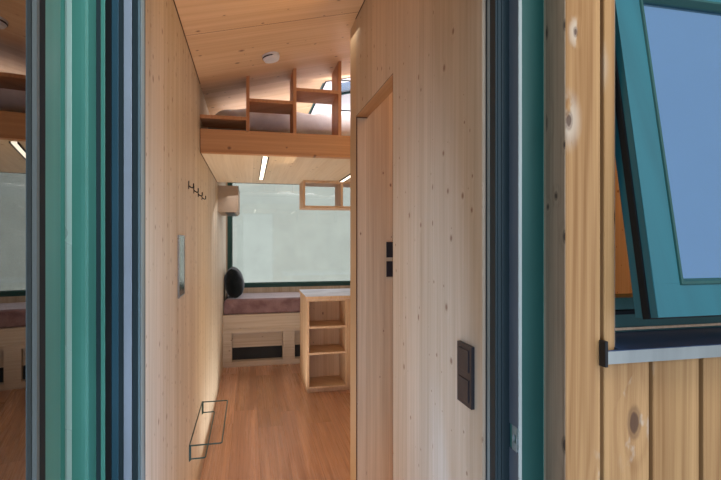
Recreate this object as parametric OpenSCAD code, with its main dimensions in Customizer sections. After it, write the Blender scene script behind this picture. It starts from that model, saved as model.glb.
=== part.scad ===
// Tiny house on a trailer: x runs from the entrance's left to its right, y from the entrance wall to the
// drawbar, z up from the ground. The walls, roof and trailer are laid out from the values below.

/* [House] */
// Width over the wall cladding
house_w = 2520; // [2400:10:2800]
// Height of the inside floor above the ground
floor_h = 700; // [650:5:800]
// Thickness of the floor deck
floor_t = 120; // [80:5:120]
// Thickness of the long walls with their cladding
side_wall_t = 146; // [110:1:180]
// Thickness of the end walls with their cladding
end_wall_t = 161; // [140:1:200]
// Thickness of the cladding boards
cladding_t = 22; // [15:1:30]
// Distance that the cladding hangs below the floor deck
cladding_drop = 25; // [0:1:60]

/* [Roof] */
// Height of the wall over the doorway at the low side
doorway_head_h = 223; // [150:1:300]
// Height by which the ceiling rises to the high wall
ceiling_rise = 537; // [300:1:650]
// Thickness of the roof deck
roof_t = 150; // [100:5:200]
// Thickness of the roof sheet
sheet_t = 12; // [6:1:20]
// Height of the standing seams
seam_h = 25; // [15:1:40]
// Distance between the standing seams
seam_pitch = 470; // [350:10:600]
// Thickness of the edge flashing
trim_t = 15; // [8:1:25]
// Height of the edge flashing below the roof sheet
trim_h = 110; // [60:5:160]

/* [Door] */
// Width of the doorway in the cladding
doorway_w = 1048; // [1000:1:1100]
// Height of the doorway over the floor
doorway_h = 2150; // [2080:5:2180]
// Depth of the door recess in front of the frame
recess_d = 76; // [74:1:90]
// Width of the hinge post of the frame
hinge_post_w = 209; // [180:1:230]
// Width of the lock post and head of the frame
frame_w = 95; // [80:1:120]
// Width of the rebate step on the frame
rebate_w = 36; // [20:1:45]
// Width of the rebate step beside the hinges
hinge_rebate_w = 76; // [40:1:90]
// Depth of the rebate step on the frame
rebate_d = 40; // [20:1:60]
// Height of the threshold
threshold_h = 28; // [15:1:40]
// Thickness of the door leaf
leaf_t = 67; // [50:1:67]
// Width of the leaf's stile on the hinge side
hinge_stile_w = 239; // [220:1:260]
// Width of the leaf's stile on the lock side
lock_stile_w = 150; // [135:1:180]
// Height of the leaf's top rail
top_rail_h = 120; // [90:1:160]
// Height of the leaf's bottom rail
bottom_rail_h = 150; // [100:1:220]
// Gap between the leaf and the recess on the lock side
leaf_gap = 9; // [7:1:14]
// Opening angle of the leaf as it stands
door_open = 82.4; // [70:0.1:95]
// Radius of the hinge barrels
barrel_r = 9; // [7:0.5:9]
// Radius of the hinge pins
pin_r = 5; // [3:0.5:5]
// Height of one hinge knuckle
knuckle_h = 44; // [30:1:60]
// Distance of the handle from the leaf's lock edge
handle_in = 130; // [125:1:140]
// Height of the handles over the floor
handle_h = 1020; // [950:5:1080]
// Thickness of the door glass
door_glass_t = 28; // [20:1:36]
// Distance of the door's glass from the leaf's inner face
door_glass_in = 3; // [2:1:25]

// Thickness of the lining at the recess's hinge side
lining_t = 3; // [2:1:5]
// Thickness of the sheet sill under the door
door_sill_t = 5; // [3:1:6]
// Distance that the door sill stands out from the cladding
door_sill_out = 28; // [10:1:50]
// Distance from the handles' middle to their plates' ends
handle_plate = 120; // [90:5:140]
// Length of the lever handles
lever_l = 125; // [100:5:140]
// Height of the strike plate
strike_h = 55; // [40:5:200]
// Width of the strike plate
strike_w = 20; // [16:1:28]
// Distance of the strike plate's middle below the handle's
strike_drop = 21; // [0:1:40]

/* [Awning window] */
// Distance of the window opening from the doorway
awning_in = 118; // [80:1:300]
// Width of the window opening
awning_w = 800; // [600:10:1000]
// Bottom of the window opening over the floor
awning_z = 1205; // [1100:5:1300]
// Height of the window opening
awning_h = 850; // [650:10:1000]
// Face width of the fixed frame
awning_frame_w = 60; // [40:1:80]
// Face width of the fixed frame's foot
awning_foot_w = 100; // [80:1:120]
// Depth of the fixed frame
awning_frame_d = 71; // [50:1:80]
// Face width of the sash
sash_w = 65; // [50:1:80]
// Depth of the sash
sash_d = 55; // [40:1:60]
// Gap between the sash and the opening
sash_gap = 12; // [11:1:18]
// Height of the frame's foot that shows below the sash
sash_foot = 43; // [20:1:60]
// Opening angle of the sash
sash_open = 9.5; // [4:0.1:14]
// Distance that the sill stands out from the cladding
sill_out = 18; // [12:1:120]
// Length of the sill beyond each side of the opening
sill_side = 33; // [15:1:50]
// Thickness of the sill sheet
sill_t = 6; // [3:1:8]
// Height of the sill's front lip
sill_lip = 28; // [15:1:40]
// Height of the sill's front edge below its back
sill_fall = 14; // [5:1:25]

/* [Panorama window] */
// Distance of the window opening from the long walls
pano_inset = 14; // [5:1:60]
// Bottom of the window over the floor
pano_z = 826; // [780:1:900]
// Distance of the window's head from the ceiling's low edge
pano_head_in = 138; // [100:1:500]
// Face width of the frame
pano_frame_w = 50; // [40:1:70]
// Depth of the frame
pano_frame_d = 80; // [60:1:100]
// Thickness of insulating glass in the fixed windows
glass_t = 28; // [16:1:36]

/* [Roof window] */
// Distance of the roof window from the low wall
skylight_from_wall = 799; // [600:1:900]
// Size of the roof window along the slope's plan
skylight_w = 790; // [600:10:900]
// Near edge of the roof window from the loft's front
skylight_from_loft = 410; // [300:10:500]
// Size of the roof window along the house
skylight_l = 1180; // [900:10:1200]
// Face width of the roof window's frame
skylight_frame_w = 55; // [40:1:80]
// Height of the roof window's kerb over the roof sheet
skylight_kerb = 60; // [40:1:90]

/* [Bathroom] */
// Distance of the partition's corridor face from the doorway's right side
partition_in = 105; // [97:1:140]
// Thickness of the partition
partition_t = 60; // [45:1:80]
// Distance of the partition's doorway from the entrance wall's outer face
bath_door_y = 880; // [700:5:1000]
// Width of the partition's doorway
bath_door_w = 645; // [600:5:750]
// Height of the partition's doorway over the floor
bath_door_h = 2070; // [1950:5:2120]
// Thickness of the cross wall behind the bathroom
cross_wall_t = 145; // [60:1:160]

/* [Loft] */
// Free length between the cross wall and the loft
way_up_l = 470; // [400:5:800]
// Depth of the loft
loft_d = 1550; // [1400:5:1600]
// Distance of the loft's underside from the ceiling's low edge
loft_under = 406; // [370:1:450]
// Thickness of the loft deck
loft_t = 80; // [60:1:100]
// Height of the loft's front beam
beam_h = 139; // [120:1:150]
// Thickness of the loft's front beam
beam_t = 60; // [40:1:80]
// Thickness of the guard shelf's boards
guard_t = 20; // [15:1:27]
// Depth of the guard shelf's boards
guard_d = 250; // [200:5:300]
// Distance between the guard shelf's uprights
guard_pitch = 285; // [260:1:300]
// First upright from the low wall
guard_first = 279; // [250:1:300]
// Height of the first shelf board over the beam
guard_step_1 = 84; // [60:1:120]
// Height of the second shelf board over the beam
guard_step_2 = 199; // [150:1:230]
// Height of the third shelf board over the beam
guard_step_3 = 284; // [240:1:320]
// Height of the lower rod over the beam
rod_low = 194; // [150:1:220]
// Height of the upper rod over the beam
rod_high = 394; // [320:1:420]
// Diameter of the rods
rod_dia = 8; // [6:1:12]
// Distance of the loft's mattress from the guard shelf and from the loft's back edge
loft_mattress_in = 30; // [10:5:60]
// Thickness of the loft mattress
loft_mattress_t = 130; // [100:5:180]
// Distance of the light strips' ends from the beam and from the hanging shelf
strip_end_in = 30; // [10:5:80]
// Width of the light strips
strip_w = 28; // [20:1:40]
// Thickness of the light strips
strip_t = 9; // [6:1:15]
// Light strip's middle from the low wall
strip_in = 385; // [300:5:450]
// Distance between the two light strips
strip_pitch = 704; // [600:5:800]
// Distance of the hanging shelf's left side from the partition's corridor face
hang_out = 70; // [0:5:120]
// Width of one bay of the hanging shelf
hang_bay = 340; // [300:5:400]
// Number of bays of the hanging shelf
hang_bays = 3; // [2:1:4]
// Depth of the hanging shelf
hang_d = 315; // [250:5:350]
// Height of the hanging shelf
hang_h = 242; // [200:1:280]
// Thickness of the shelf and cabinet boards
board_t = 19; // [15:1:25]

/* [Kitchen] */
// Distance of the counter's left side from the partition's corridor face
counter_out = 5; // [0:5:60]
// Length by which the counter lies under the loft
counter_lap = 70; // [20:5:120]
// Depth of the kitchen counter
counter_d = 640; // [600:5:680]
// Height of the counter's top over the floor
counter_h = 912; // [860:1:950]
// Thickness of the worktop
worktop_t = 30; // [20:1:40]
// Distance that the worktop stands out from the cabinet
worktop_out = 12; // [5:1:30]
// Width of the open end shelf
end_shelf_w = 385; // [300:5:420]
// Depth of the open end shelf
end_shelf_d = 330; // [250:5:400]
// Distance of the plinth behind the counter's front
plinth_in = 40; // [20:5:80]
// Height of the counter's plinth
plinth_h = 62; // [50:1:100]
// Lower board of the open end shelf over the floor
end_shelf_z1 = 362; // [300:1:400]
// Upper board of the open end shelf over the floor
end_shelf_z2 = 608; // [550:1:650]
// Gap between the drawer fronts
front_gap = 6; // [3:1:8]
// Thickness of the drawer fronts
front_t = 19; // [15:1:25]
// Height of the shallow drawer front
front_h1 = 130; // [100:5:180]
// Height of the middle drawer front
front_h2 = 260; // [200:5:320]

/* [Day bed] */
// Free length between the counter and the day bed
living_l = 490; // [440:5:1200]
// Depth of the day bed
bed_d = 739; // [650:1:900]
// Distance of the mattress behind the day bed's front
bed_mattress_in = 8; // [0:1:20]
// Thickness of the pillow
pillow_t = 150; // [90:5:160]
// Length of the pillow
pillow_l = 480; // [400:5:600]
// Height of the pillow
pillow_h = 340; // [280:5:400]
// Lean of the pillow against the low wall in degrees
pillow_lean = 16; // [0:1:25]
// Distance of the pillow from the day bed's front
pillow_in = 70; // [20:5:150]
// Height of the plinth
bed_plinth_h = 60; // [40:1:100]
// Top of the openings over the floor
bed_open_top = 387; // [340:1:400]
// Height of the rail over the openings
bed_rail_h = 46; // [30:1:60]
// Height of the fascia over the rail
bed_fascia_h = 155; // [120:1:180]
// Thickness of the bed mattress
bed_mattress_t = 177; // [140:1:200]
// Width of the left stile
bed_stile = 94; // [60:1:140]
// Width of one opening
bed_open_w = 569; // [500:1:600]
// Width of the mullions between the openings
bed_mullion = 140; // [80:1:160]
// Thickness of the base's panels
bed_panel_t = 27; // [19:1:40]
// Distance that the rail stands out from the panels
bed_rail_out = 12; // [5:1:25]

/* [Fittings] */
// Length of the box unit on the low wall
unit_l = 760; // [600:10:900]
// Distance that the box unit stands out from the wall
unit_out = 182; // [150:1:250]
// Height of the box unit
unit_h = 250; // [220:1:280]
// Bottom of the box unit over the floor
unit_z = 1704; // [1650:1:1750]
// Distance of the box unit from the far wall
unit_in = 889; // [600:1:900]
// Chamfer along the unit's lower edge
unit_chamfer = 20; // [10:5:90]
// Distance of the smoke detector from the low wall
detector_from_wall = 403; // [200:1:600]
// Distance of the smoke detector from the loft's front
detector_from_loft = 290; // [120:5:400]
// Diameter of the smoke detector
detector_dia = 95; // [80:1:120]
// Height of the smoke detector
detector_h = 32; // [20:1:45]
// Distance that the hooks stand out from the wall
hook_out = 27; // [22:1:60]
// Distance of the hooks below the loft's underside
hook_under = 256; // [150:1:400]
// First hook from the entrance wall's outer face
hook_y = 1590; // [1400:5:1700]
// Distance between the hooks
hook_pitch = 222; // [200:1:300]
// Near edge of the framed mirror from the entrance wall's outer face
mirror_y = 1230; // [1000:5:1300]
// Width of the framed mirror
mirror_w = 170; // [120:5:220]
// Bottom of the framed mirror over the floor
mirror_z = 1200; // [1000:5:1300]
// Height of the framed mirror
mirror_h = 260; // [200:5:350]
// Thickness of the framed mirror
mirror_t = 6; // [4:1:20]
// Width of a switch plate
switch_w = 80; // [75:1:90]
// Thickness of the switch plates
switch_t = 9; // [6:1:12]
// Height of the double switch by the entrance
double_h = 151; // [145:1:160]
// Bottom of the double switch over the floor
double_z = 1030; // [900:5:1150]
// Distance of the double switch from the entrance wall's inner face
double_in = 39; // [30:1:150]
// Distance of the cross wall's switches from the partition's corridor face
cross_switch_in = 160; // [100:5:300]
// Bottom of the lower switch on the cross wall over the floor
cross_switch_z = 1250; // [1100:5:1350]
// Distance between the switches on the cross wall
cross_switch_pitch = 100; // [85:1:120]
// Wire diameter of the rack
wire_dia = 7; // [5:1:10]
// Length of the rack along the wall
rack_l = 660; // [500:5:700]
// Near end of the rack from the entrance wall's outer face
rack_y = 1613; // [1500:1:1750]
// Height of the rack's lower loop over the floor
rack_z = 365; // [250:5:400]
// Height of the rack's upper loop over the lower one
rack_rise = 65; // [50:5:120]
// Distance that the rack's lower loop stands out from the wall
rack_out = 80; // [60:5:250]
// Distance that the rack's upper loop stands out from the wall
rack_upper_out = 158; // [120:1:200]

/* [Trailer] */
// Height of the chassis rails
rail_h = 120; // [100:5:160]
// Width of the chassis rails
rail_w = 60; // [50:5:80]
// Distance between the middles of the chassis rails
rail_gauge = 1500; // [1300:10:1600]
// Radius of the tyres
tyre_r = 270; // [255:1:280]
// Width of the tyres
tyre_w = 195; // [165:5:205]
// Radius of the wheel rims
rim_r = 168; // [150:1:180]
// Thickness of the rims' sheet
rim_t = 8; // [5:1:10]
// Radius of the hubs behind the rims
hub_r = 45; // [38:1:50]
// Radius of the hand holes in the rims
hand_hole_r = 15; // [10:1:18]
// Number of hand holes in a rim
hand_holes = 8; // [4:1:10]
// Distance between the wheels' middles across the trailer
wheel_gauge = 2010; // [1900:10:2100]
// Distance between the two axles
axle_pitch = 640; // [600:10:750]
// Distance of the axles' middle from the entrance wall, before the house's own middle
axle_back = 175; // [-300:5:300]
// Height of the outriggers beside the rails
outrigger_h = 35; // [25:1:36]
// Half width of an axle's spring seat
seat_half = 45; // [30:1:60]
// Radius of the axle tubes
axle_r = 38; // [30:1:45]
// Length of the drawbar in front of the house
drawbar_l = 1280; // [1100:10:1500]
// Radius of the corner legs
leg_r = 24; // [20:1:30]
// Distance of the corner legs from the end walls
leg_in = 260; // [200:10:400]
// Distance of the legs from the rails
leg_off = 45; // [40:1:80]
// Radius of the legs' feet
foot_r = 70; // [50:5:90]
// Thickness of the legs' feet
foot_t = 12; // [8:1:16]
// Number of cross members
cross_n = 5; // [4:1:8]
// Clearance between the drawbar's beams and the skirt above them
bar_room = 5; // [2:1:20]
// Length of the drawbar's nose behind the coupling
nose_l = 220; // [180:5:300]
// Radius of the coupling head
coupling_r = 60; // [50:1:65]
// Radius of the jockey wheel
jockey_r = 100; // [80:5:120]
// Width of the jockey wheel
jockey_w = 60; // [40:5:80]
// Radius of the jockey wheel's tube
jockey_tube_r = 24; // [20:1:28]
// Distance of the jockey wheel from the coupling's end
jockey_in = 420; // [360:10:520]
// Distance of the jockey wheel's tube from the beam
jockey_off = 50; // [45:1:80]

/* [Hidden] */

// Cuts run past the face that they open by this much
over = 1;
// Faces that lie against a soft piece keep this clearance
seat = 0.3;
// Clearance between sloping faces that lie on each other
slip = 0.05;
// Depth to which glass is let into its frame
groove = 12;
// Distance of the closed leaf behind the cladding's face
leaf_face = 3;
// Distance of the leaf's edge from the hinge axis
leaf_edge = 6;
// Distance of the hinge axis from the lining
hinge_in = 17;
// Room over the door sill and under the doorway's head
leaf_room = 7;
// Rooms between the leaf's body and the frame's rebate, at its face, its ends and the lock side
body_room = 6;
body_swing = 10;
// Distance of the lowest hinge from the leaf's foot
hinge_low_in = 190;
// Distance of the highest hinge from the leaf's head
hinge_high_in = 240;
// Room between the sash and its frame
sash_room = 7;
// Distance of the stays from the sash's edges
stay_in = 24;
// Distances of the stays' ends on the frame and on the sash below the sash's head
stay_head = 70;
stay_foot = 300;
// Radial clearance of the hinge pins
pin_clear = 0.05;
// Clearance between two hinge knuckles
knuckle_gap = 0.8;
// Thickness of the hinges' plates
plate_t = 5;
// Depth to which the strike plate is let into the frame
strike_t = 3;
// Distance of a rim's edge from the tyre's widest plane
rim_bead_in = 15;
// Length that a drawbar beam's outer face has beyond its inner one at the nose
beam_end = 96;

core_x = house_w / 2 - cladding_t;
inner_x = house_w / 2 - side_wall_t;
slope = ceiling_rise / (2 * inner_x);
slope_angle = atan(slope);

// Heights over the floor
ceiling_low = doorway_h + doorway_head_h;
loft_z = ceiling_low - loft_under;
hook_z = loft_z - hook_under;
pano_h = ceiling_low - pano_head_in - pano_z;

// Ceiling and roof heights at x
function ceiling_z(x) = floor_h + ceiling_low + (x + inner_x) * slope;
function roof_z(x) = ceiling_z(x) + roof_t;

// Places along the house, from the entrance wall's outer face
inner_y0 = end_wall_t;
cross_y0 = bath_door_y + bath_door_w;
cross_y1 = cross_y0 + cross_wall_t;
loft_y = cross_y1 + way_up_l;
loft_back = loft_y + loft_d;
counter_y = loft_back - counter_lap;
bed_y = counter_y + counter_d + living_l;
inner_y1 = bed_y + bed_d;
house_l = inner_y1 + end_wall_t;
core_y0 = cladding_t;
core_y1 = house_l - cladding_t;
skylight_y = loft_y + skylight_from_loft;
unit_y = inner_y1 - unit_in - unit_l;
axle_y = house_l / 2 - axle_back;
bar_end_y = house_l + drawbar_l;
nose_y = bar_end_y - coupling_r - nose_l;
pano_pane_y = inner_y1 + (pano_frame_d - glass_t) / 2;

// Places across the house, from its middle
doorway_x0 = -core_x;
doorway_x1 = doorway_x0 + doorway_w;
partition_x = doorway_x1 - partition_in;
counter_x = partition_x - counter_out;
hang_x = partition_x - hang_out;
awning_x = doorway_x1 + awning_in;
skylight_x = -inner_x + skylight_from_wall;
leg_x = rail_gauge / 2 + rail_w / 2 + leg_off;

// Heights from the ground
skirt_z = floor_h - floor_t - cladding_drop;
deck_z = floor_h - floor_t;
rail_z = deck_z - rail_h;
bar_h = rail_h - cladding_drop - bar_room;
loft_top = floor_h + loft_z + loft_t;
beam_top = floor_h + loft_z + beam_h;
bed_top = floor_h + bed_open_top + bed_rail_h + bed_fascia_h;

// The leaf, in its own layout: x from the hinge axis along the leaf, y from its outer to its inner face
hinge_x = doorway_x0 + lining_t + hinge_in;
hinge_y = leaf_face - barrel_r;
lip_x0 = doorway_x0 + hinge_post_w;
lip_x1 = doorway_x1 - frame_w;
lip_z = floor_h + doorway_h - frame_w;
leaf_w = doorway_x1 - leaf_gap - hinge_x - leaf_edge;
leaf_x1 = leaf_edge + leaf_w;
leaf_y0 = barrel_r;
leaf_y1 = leaf_y0 + leaf_t;
body_y1 = recess_d + rebate_d - body_room - hinge_y;
leaf_z0 = floor_h + door_sill_t + leaf_room;
leaf_z1 = floor_h + doorway_h - leaf_room;
hinge_zs = [leaf_z0 + hinge_low_in, (leaf_z0 + leaf_z1) / 2, leaf_z1 - hinge_high_in];
leaf_tip_y = hinge_y - leaf_x1 * sin(door_open) + leaf_y0 * cos(door_open);
origin_y = (leaf_tip_y + bar_end_y) / 2;

// The sash, in its own layout: z = 0 at its top, y = 0 at its outer face
sash_back = end_wall_t - awning_frame_d;
sash_x0 = awning_x + sash_gap;
sash_x1 = awning_x + awning_w - sash_gap;
sash_top = floor_h + awning_z + awning_h - sash_gap;
sash_h = awning_h - 2 * sash_gap - sill_fall - sill_t - sash_foot;
sash_y = sash_back - sash_room - sash_d;

// Moves a piece from the house's own layout, with y = 0 at the entrance wall, to the middle of the whole
module place() {
    translate([0, -origin_y, 0]) children();
}

// Box between two corners
module block(a, b) {
    translate(a) cube(b - a);
}

// Slab along y whose outline is given in x and z
module prism_y(y0, y1, outline) {
    translate([0, y1, 0]) rotate([90, 0, 0]) linear_extrude(height = y1 - y0) polygon(outline);
}

// Upright slab from z0 up to the ceiling line, moved up by lift, between two x and two y values
module to_ceiling(x0, x1, y0, y1, z0, lift = 0) {
    top = lift - slip;
    prism_y(y0, y1, [[x0, z0], [x1, z0], [x1, ceiling_z(x1) + top], [x0, ceiling_z(x0) + top]]);
}

// Upright rectangular ring from y0 to y1, with a groove that takes the edge of a pane
module ring_y(x0, x1, z0, z1, y0, y1, face, pane_y, pane_t) {
    in = face - groove;
    difference() {
        block([x0, y0, z0], [x1, y1, z1]);
        block([x0 + face, y0 - over, z0 + face], [x1 - face, y1 + over, z1 - face]);
        block([x0 + in, pane_y, z0 + in], [x1 - in, pane_y + pane_t, z1 - in]);
    }
}

// Opening of the awning window through the entrance wall
module awning_cut() {
    block([awning_x, -over, floor_h + awning_z],
        [awning_x + awning_w, end_wall_t + over, floor_h + awning_z + awning_h]);
}

// Opening of the panorama window through the far wall
module pano_cut() {
    block([-inner_x + pano_inset, inner_y1 - over, floor_h + pano_z],
        [inner_x - pano_inset, house_l + over, floor_h + pano_z + pano_h]);
}

// Slab that follows the roof's slope between two x and two y values, from low to high over the ceiling
module roof_slab(x0, x1, y0, y1, low, high) {
    prism_y(y0, y1, [[x0, ceiling_z(x0) + low], [x1, ceiling_z(x1) + low],
        [x1, ceiling_z(x1) + high], [x0, ceiling_z(x0) + high]]);
}

// Opening of the roof window
module skylight_cut(low, high, grow = 0) {
    roof_slab(skylight_x - grow, skylight_x + skylight_w + grow,
        skylight_y - grow, skylight_y + skylight_l + grow, low, high);
}

module chassis_frame() {
    step = (core_y1 - core_y0 - rail_w) / (cross_n - 1);
    color("dimgray") place() {
        for (side = [-1, 1])
            translate([side * rail_gauge / 2 - rail_w / 2, core_y0, rail_z])
                cube([rail_w, core_y1 - core_y0, rail_h]);
        for (k = [0 : cross_n - 1])
            translate([0, core_y0 + k * step, 0]) {
                block([-rail_gauge / 2, 0, rail_z + rail_h / 2], [rail_gauge / 2, rail_w, deck_z]);
                block([-core_x + rail_w, 0, deck_z - outrigger_h], [core_x - rail_w, rail_w, deck_z]);
            }
    }
}

// Outer face of the drawbar's beam at y, as a distance from the middle
function beam_face(y) = (rail_gauge - rail_w) / 2
    * (nose_y + beam_end - y) / (nose_y + beam_end - core_y1);

// One beam of the drawbar, from the rail to the nose, as a slab seen from above
module bar_beam() {
    foot_w = rail_w * 1.2;
    translate([0, 0, rail_z]) linear_extrude(height = bar_h)
        polygon([[beam_face(core_y1), core_y1], [beam_face(core_y1) - foot_w, core_y1],
            [0, nose_y], [0, nose_y + beam_end]]);
}

module drawbar() {
    head_y = bar_end_y - coupling_r;
    color("dimgray") place() {
        bar_beam();
        mirror([1, 0, 0]) bar_beam();
        block([-rail_w * 0.8, nose_y - rail_w, rail_z],
            [rail_w * 0.8, head_y - nose_l / 3, rail_z + bar_h]);
        translate([0, head_y - nose_l / 2, rail_z + bar_h / 2]) rotate([-90, 0, 0])
            cylinder(r = bar_h * 0.35, h = nose_l / 2, $fn = 40);
        translate([0, head_y, rail_z + bar_h * 0.1]) cylinder(r = coupling_r, h = bar_h * 0.6, $fn = 48);
        translate([0, head_y - coupling_r, rail_z + bar_h * 0.7]) rotate([-35, 0, 0])
            cube([bar_h * 0.3, bar_h * 0.2, bar_h * 1.4], center = true);
    }
}

// Clamp between the jockey wheel's tube and the beam, as a slab seen from above
module jockey_clamp(wheel_y, h) {
    half = 18;
    linear_extrude(height = h)
        polygon([for (c = [[0, -half], [0, half], [1, half], [1, -half]])
            [c[0] * (jockey_off + beam_face(wheel_y) - beam_face(wheel_y + c[1]) - slip), c[1]]]);
}

// Support wheel beside the drawbar's left beam: tube, clamp, crank, fork and wheel
module jockey_wheel() {
    wheel_y = bar_end_y - jockey_in;
    tube_z = 2 * jockey_r + 12;
    cheek_t = 6;
    cheek_x = jockey_w / 2 + 2;
    fork_w = 28;
    crank_r = 7;
    crank_l = 110;
    color("gainsboro") place() translate([-beam_face(wheel_y) - jockey_off, wheel_y, 0]) {
        translate([0, 0, tube_z]) cylinder(r = jockey_tube_r, h = floor_h - tube_z, $fn = 32);
        for (side = [0, 1]) mirror([side, 0, 0])
            translate([cheek_x, -fork_w / 2, jockey_r - fork_w / 2])
                cube([cheek_t, fork_w, tube_z - jockey_r + fork_w / 2]);
        translate([-cheek_x, -fork_w / 2, tube_z - cheek_t]) cube([2 * cheek_x, fork_w, cheek_t]);
        translate([-cheek_x - cheek_t, 0, jockey_r]) rotate([0, 90, 0])
            cylinder(r = crank_r, h = 2 * (cheek_x + cheek_t), $fn = 24);
        translate([-jockey_w / 2, 0, jockey_r]) rotate([0, 90, 0])
            cylinder(r = jockey_r, h = jockey_w, $fn = 48);
        translate([0, 0, rail_z]) cylinder(r = jockey_tube_r * 1.5, h = bar_h * 0.6, $fn = 32);
        translate([0, 0, rail_z]) jockey_clamp(wheel_y, bar_h * 0.6);
        translate([0, 0, floor_h]) cylinder(r = crank_r, h = crank_l / 2, $fn = 24);
        translate([-crank_l, 0, floor_h + crank_l / 2]) rotate([0, 90, 0])
            cylinder(r = crank_r, h = crank_l + crank_r, $fn = 24);
    }
}

module axles() {
    color("silver") place()
        for (k = [-1, 1]) {
            translate([-wheel_gauge / 2 + tyre_w / 2, axle_y + k * axle_pitch / 2, tyre_r]) rotate([0, 90, 0])
                cylinder(r = axle_r, h = wheel_gauge - tyre_w, $fn = 32);
            for (side = [-1, 1])
                translate([side * rail_gauge / 2 - rail_w / 2,
                        axle_y + k * axle_pitch / 2 - seat_half, tyre_r])
                    cube([rail_w, 2 * seat_half, rail_z - tyre_r]);
        }
}

module at_wheels() {
    place()
        for (side = [-1, 1], k = [-1, 1])
            translate([side * wheel_gauge / 2, axle_y + k * axle_pitch / 2, tyre_r])
                rotate([0, side * 90, 0]) children();
}

module tyres() {
    color("black") at_wheels()
        rotate_extrude($fn = 64)
            polygon([[rim_r, -tyre_w / 2 + rim_bead_in], [rim_r + 30, -tyre_w / 2],
                [tyre_r - 25, -tyre_w / 2 + 4], [tyre_r, -tyre_w / 2 + 28], [tyre_r, tyre_w / 2 - 28],
                [tyre_r - 25, tyre_w / 2 - 4], [rim_r + 30, tyre_w / 2],
                [rim_r, tyre_w / 2 - rim_bead_in]]);
}

module wheel_rims() {
    face = tyre_w / 2;
    bead = rim_bead_in;
    color("silver") at_wheels() difference() {
        rotate_extrude($fn = 64)
            polygon([[0, -face], [hub_r, -face], [hub_r, face - 48], [rim_r - 22 - rim_t, face - 55 - rim_t],
                [rim_r - rim_t, face - 50], [rim_r - rim_t, -face + bead], [rim_r, -face + bead],
                [rim_r, face - bead], [rim_r - 14, face - 12], [rim_r - 26, face - 55], [70, face - 40],
                [60, face - 20], [38, face - 20], [34, face - 4], [0, face - 4]]);
        for (k = [0 : hand_holes - 1])
            rotate([0, 0, k * 360 / hand_holes]) translate([(70 + rim_r - 26) / 2, 0, face - 80])
                cylinder(r = hand_hole_r, h = 80, $fn = 16);
    }
}

module corner_legs() {
    bracket_w = 70;
    bracket_h = 60;
    color("gainsboro") place() for (side = [0, 1], y = [leg_in, house_l - leg_in])
        mirror([side, 0, 0]) translate([leg_x, y, 0]) {
            cylinder(r = foot_r, h = foot_t, $fn = 40);
            cylinder(r = leg_r * 0.75, h = deck_z / 2, $fn = 32);
            translate([0, 0, deck_z * 0.35]) cylinder(r = leg_r, h = deck_z * 0.65, $fn = 32);
            translate([-leg_off, -bracket_w / 2, deck_z - 1.5 * bracket_h])
                cube([leg_off, bracket_w, bracket_h]);
        }
}

module floor_deck() {
    color("sienna") place() block([-core_x, core_y0, deck_z], [core_x, core_y1, floor_h]);
}

module left_wall() {
    color("burlywood") place() to_ceiling(-core_x, -inner_x, inner_y0, inner_y1, floor_h);
}

module right_wall() {
    color("burlywood") place() to_ceiling(inner_x, core_x, inner_y0, inner_y1, floor_h);
}

module front_wall_right() {
    color("burlywood") place() difference() {
        to_ceiling(doorway_x1, core_x, core_y0, inner_y0, floor_h);
        awning_cut();
    }
}

module front_wall_head() {
    color("burlywood") place()
        to_ceiling(doorway_x0, doorway_x1, core_y0, inner_y0, floor_h + doorway_h);
}

module rear_wall() {
    color("burlywood") place() difference() {
        to_ceiling(-core_x, core_x, inner_y1, core_y1, floor_h);
        pano_cut();
    }
}

module side_cladding() {
    color("peru") place() {
        to_ceiling(-house_w / 2, -core_x, 0, house_l, skirt_z, roof_t);
        to_ceiling(core_x, house_w / 2, 0, house_l, skirt_z, roof_t);
    }
}

module front_cladding() {
    color("peru") place() difference() {
        to_ceiling(-core_x, core_x, 0, core_y0, skirt_z, roof_t);
        block([doorway_x0 - over, -over, floor_h], [doorway_x1, core_y0 + over, floor_h + doorway_h]);
        awning_cut();
    }
}

module rear_cladding() {
    color("peru") place() difference() {
        to_ceiling(-core_x, core_x, core_y1, house_l, skirt_z, roof_t);
        pano_cut();
    }
}

module roof_deck() {
    color("burlywood") place() difference() {
        roof_slab(-core_x, core_x, core_y0, core_y1, 0, roof_t);
        skylight_cut(-over, roof_t + over);
    }
}

module roof_sheet() {
    rib_t = 14;
    color("slategray") place() difference() {
        union() {
            roof_slab(-house_w / 2, house_w / 2, 0, house_l, roof_t + slip, roof_t + sheet_t);
            for (y = [seam_pitch / 2 : seam_pitch : house_l - rib_t])
                roof_slab(-house_w / 2, house_w / 2, y, y + rib_t, roof_t + slip, roof_t + sheet_t + seam_h);
        }
        skylight_cut(roof_t - over, roof_t + sheet_t + seam_h + over, skylight_frame_w);
    }
}

module roof_trim() {
    color("darkslategray") place() {
        for (y = [-trim_t, house_l])
            roof_slab(-house_w / 2 - trim_t, house_w / 2 + trim_t, y, y + trim_t,
                roof_t - trim_h, roof_t + sheet_t);
        roof_slab(-house_w / 2 - trim_t, -house_w / 2, 0, house_l, roof_t - trim_h, roof_t + sheet_t);
        roof_slab(house_w / 2, house_w / 2 + trim_t, 0, house_l, roof_t - trim_h, roof_t + sheet_t);
    }
}

// Lining of the recess at the hinge side
module corner_lining() {
    color("darkslategray") place()
        block([doorway_x0, 0, floor_h + door_sill_t],
            [doorway_x0 + lining_t, recess_d, floor_h + doorway_h]);
}

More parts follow.
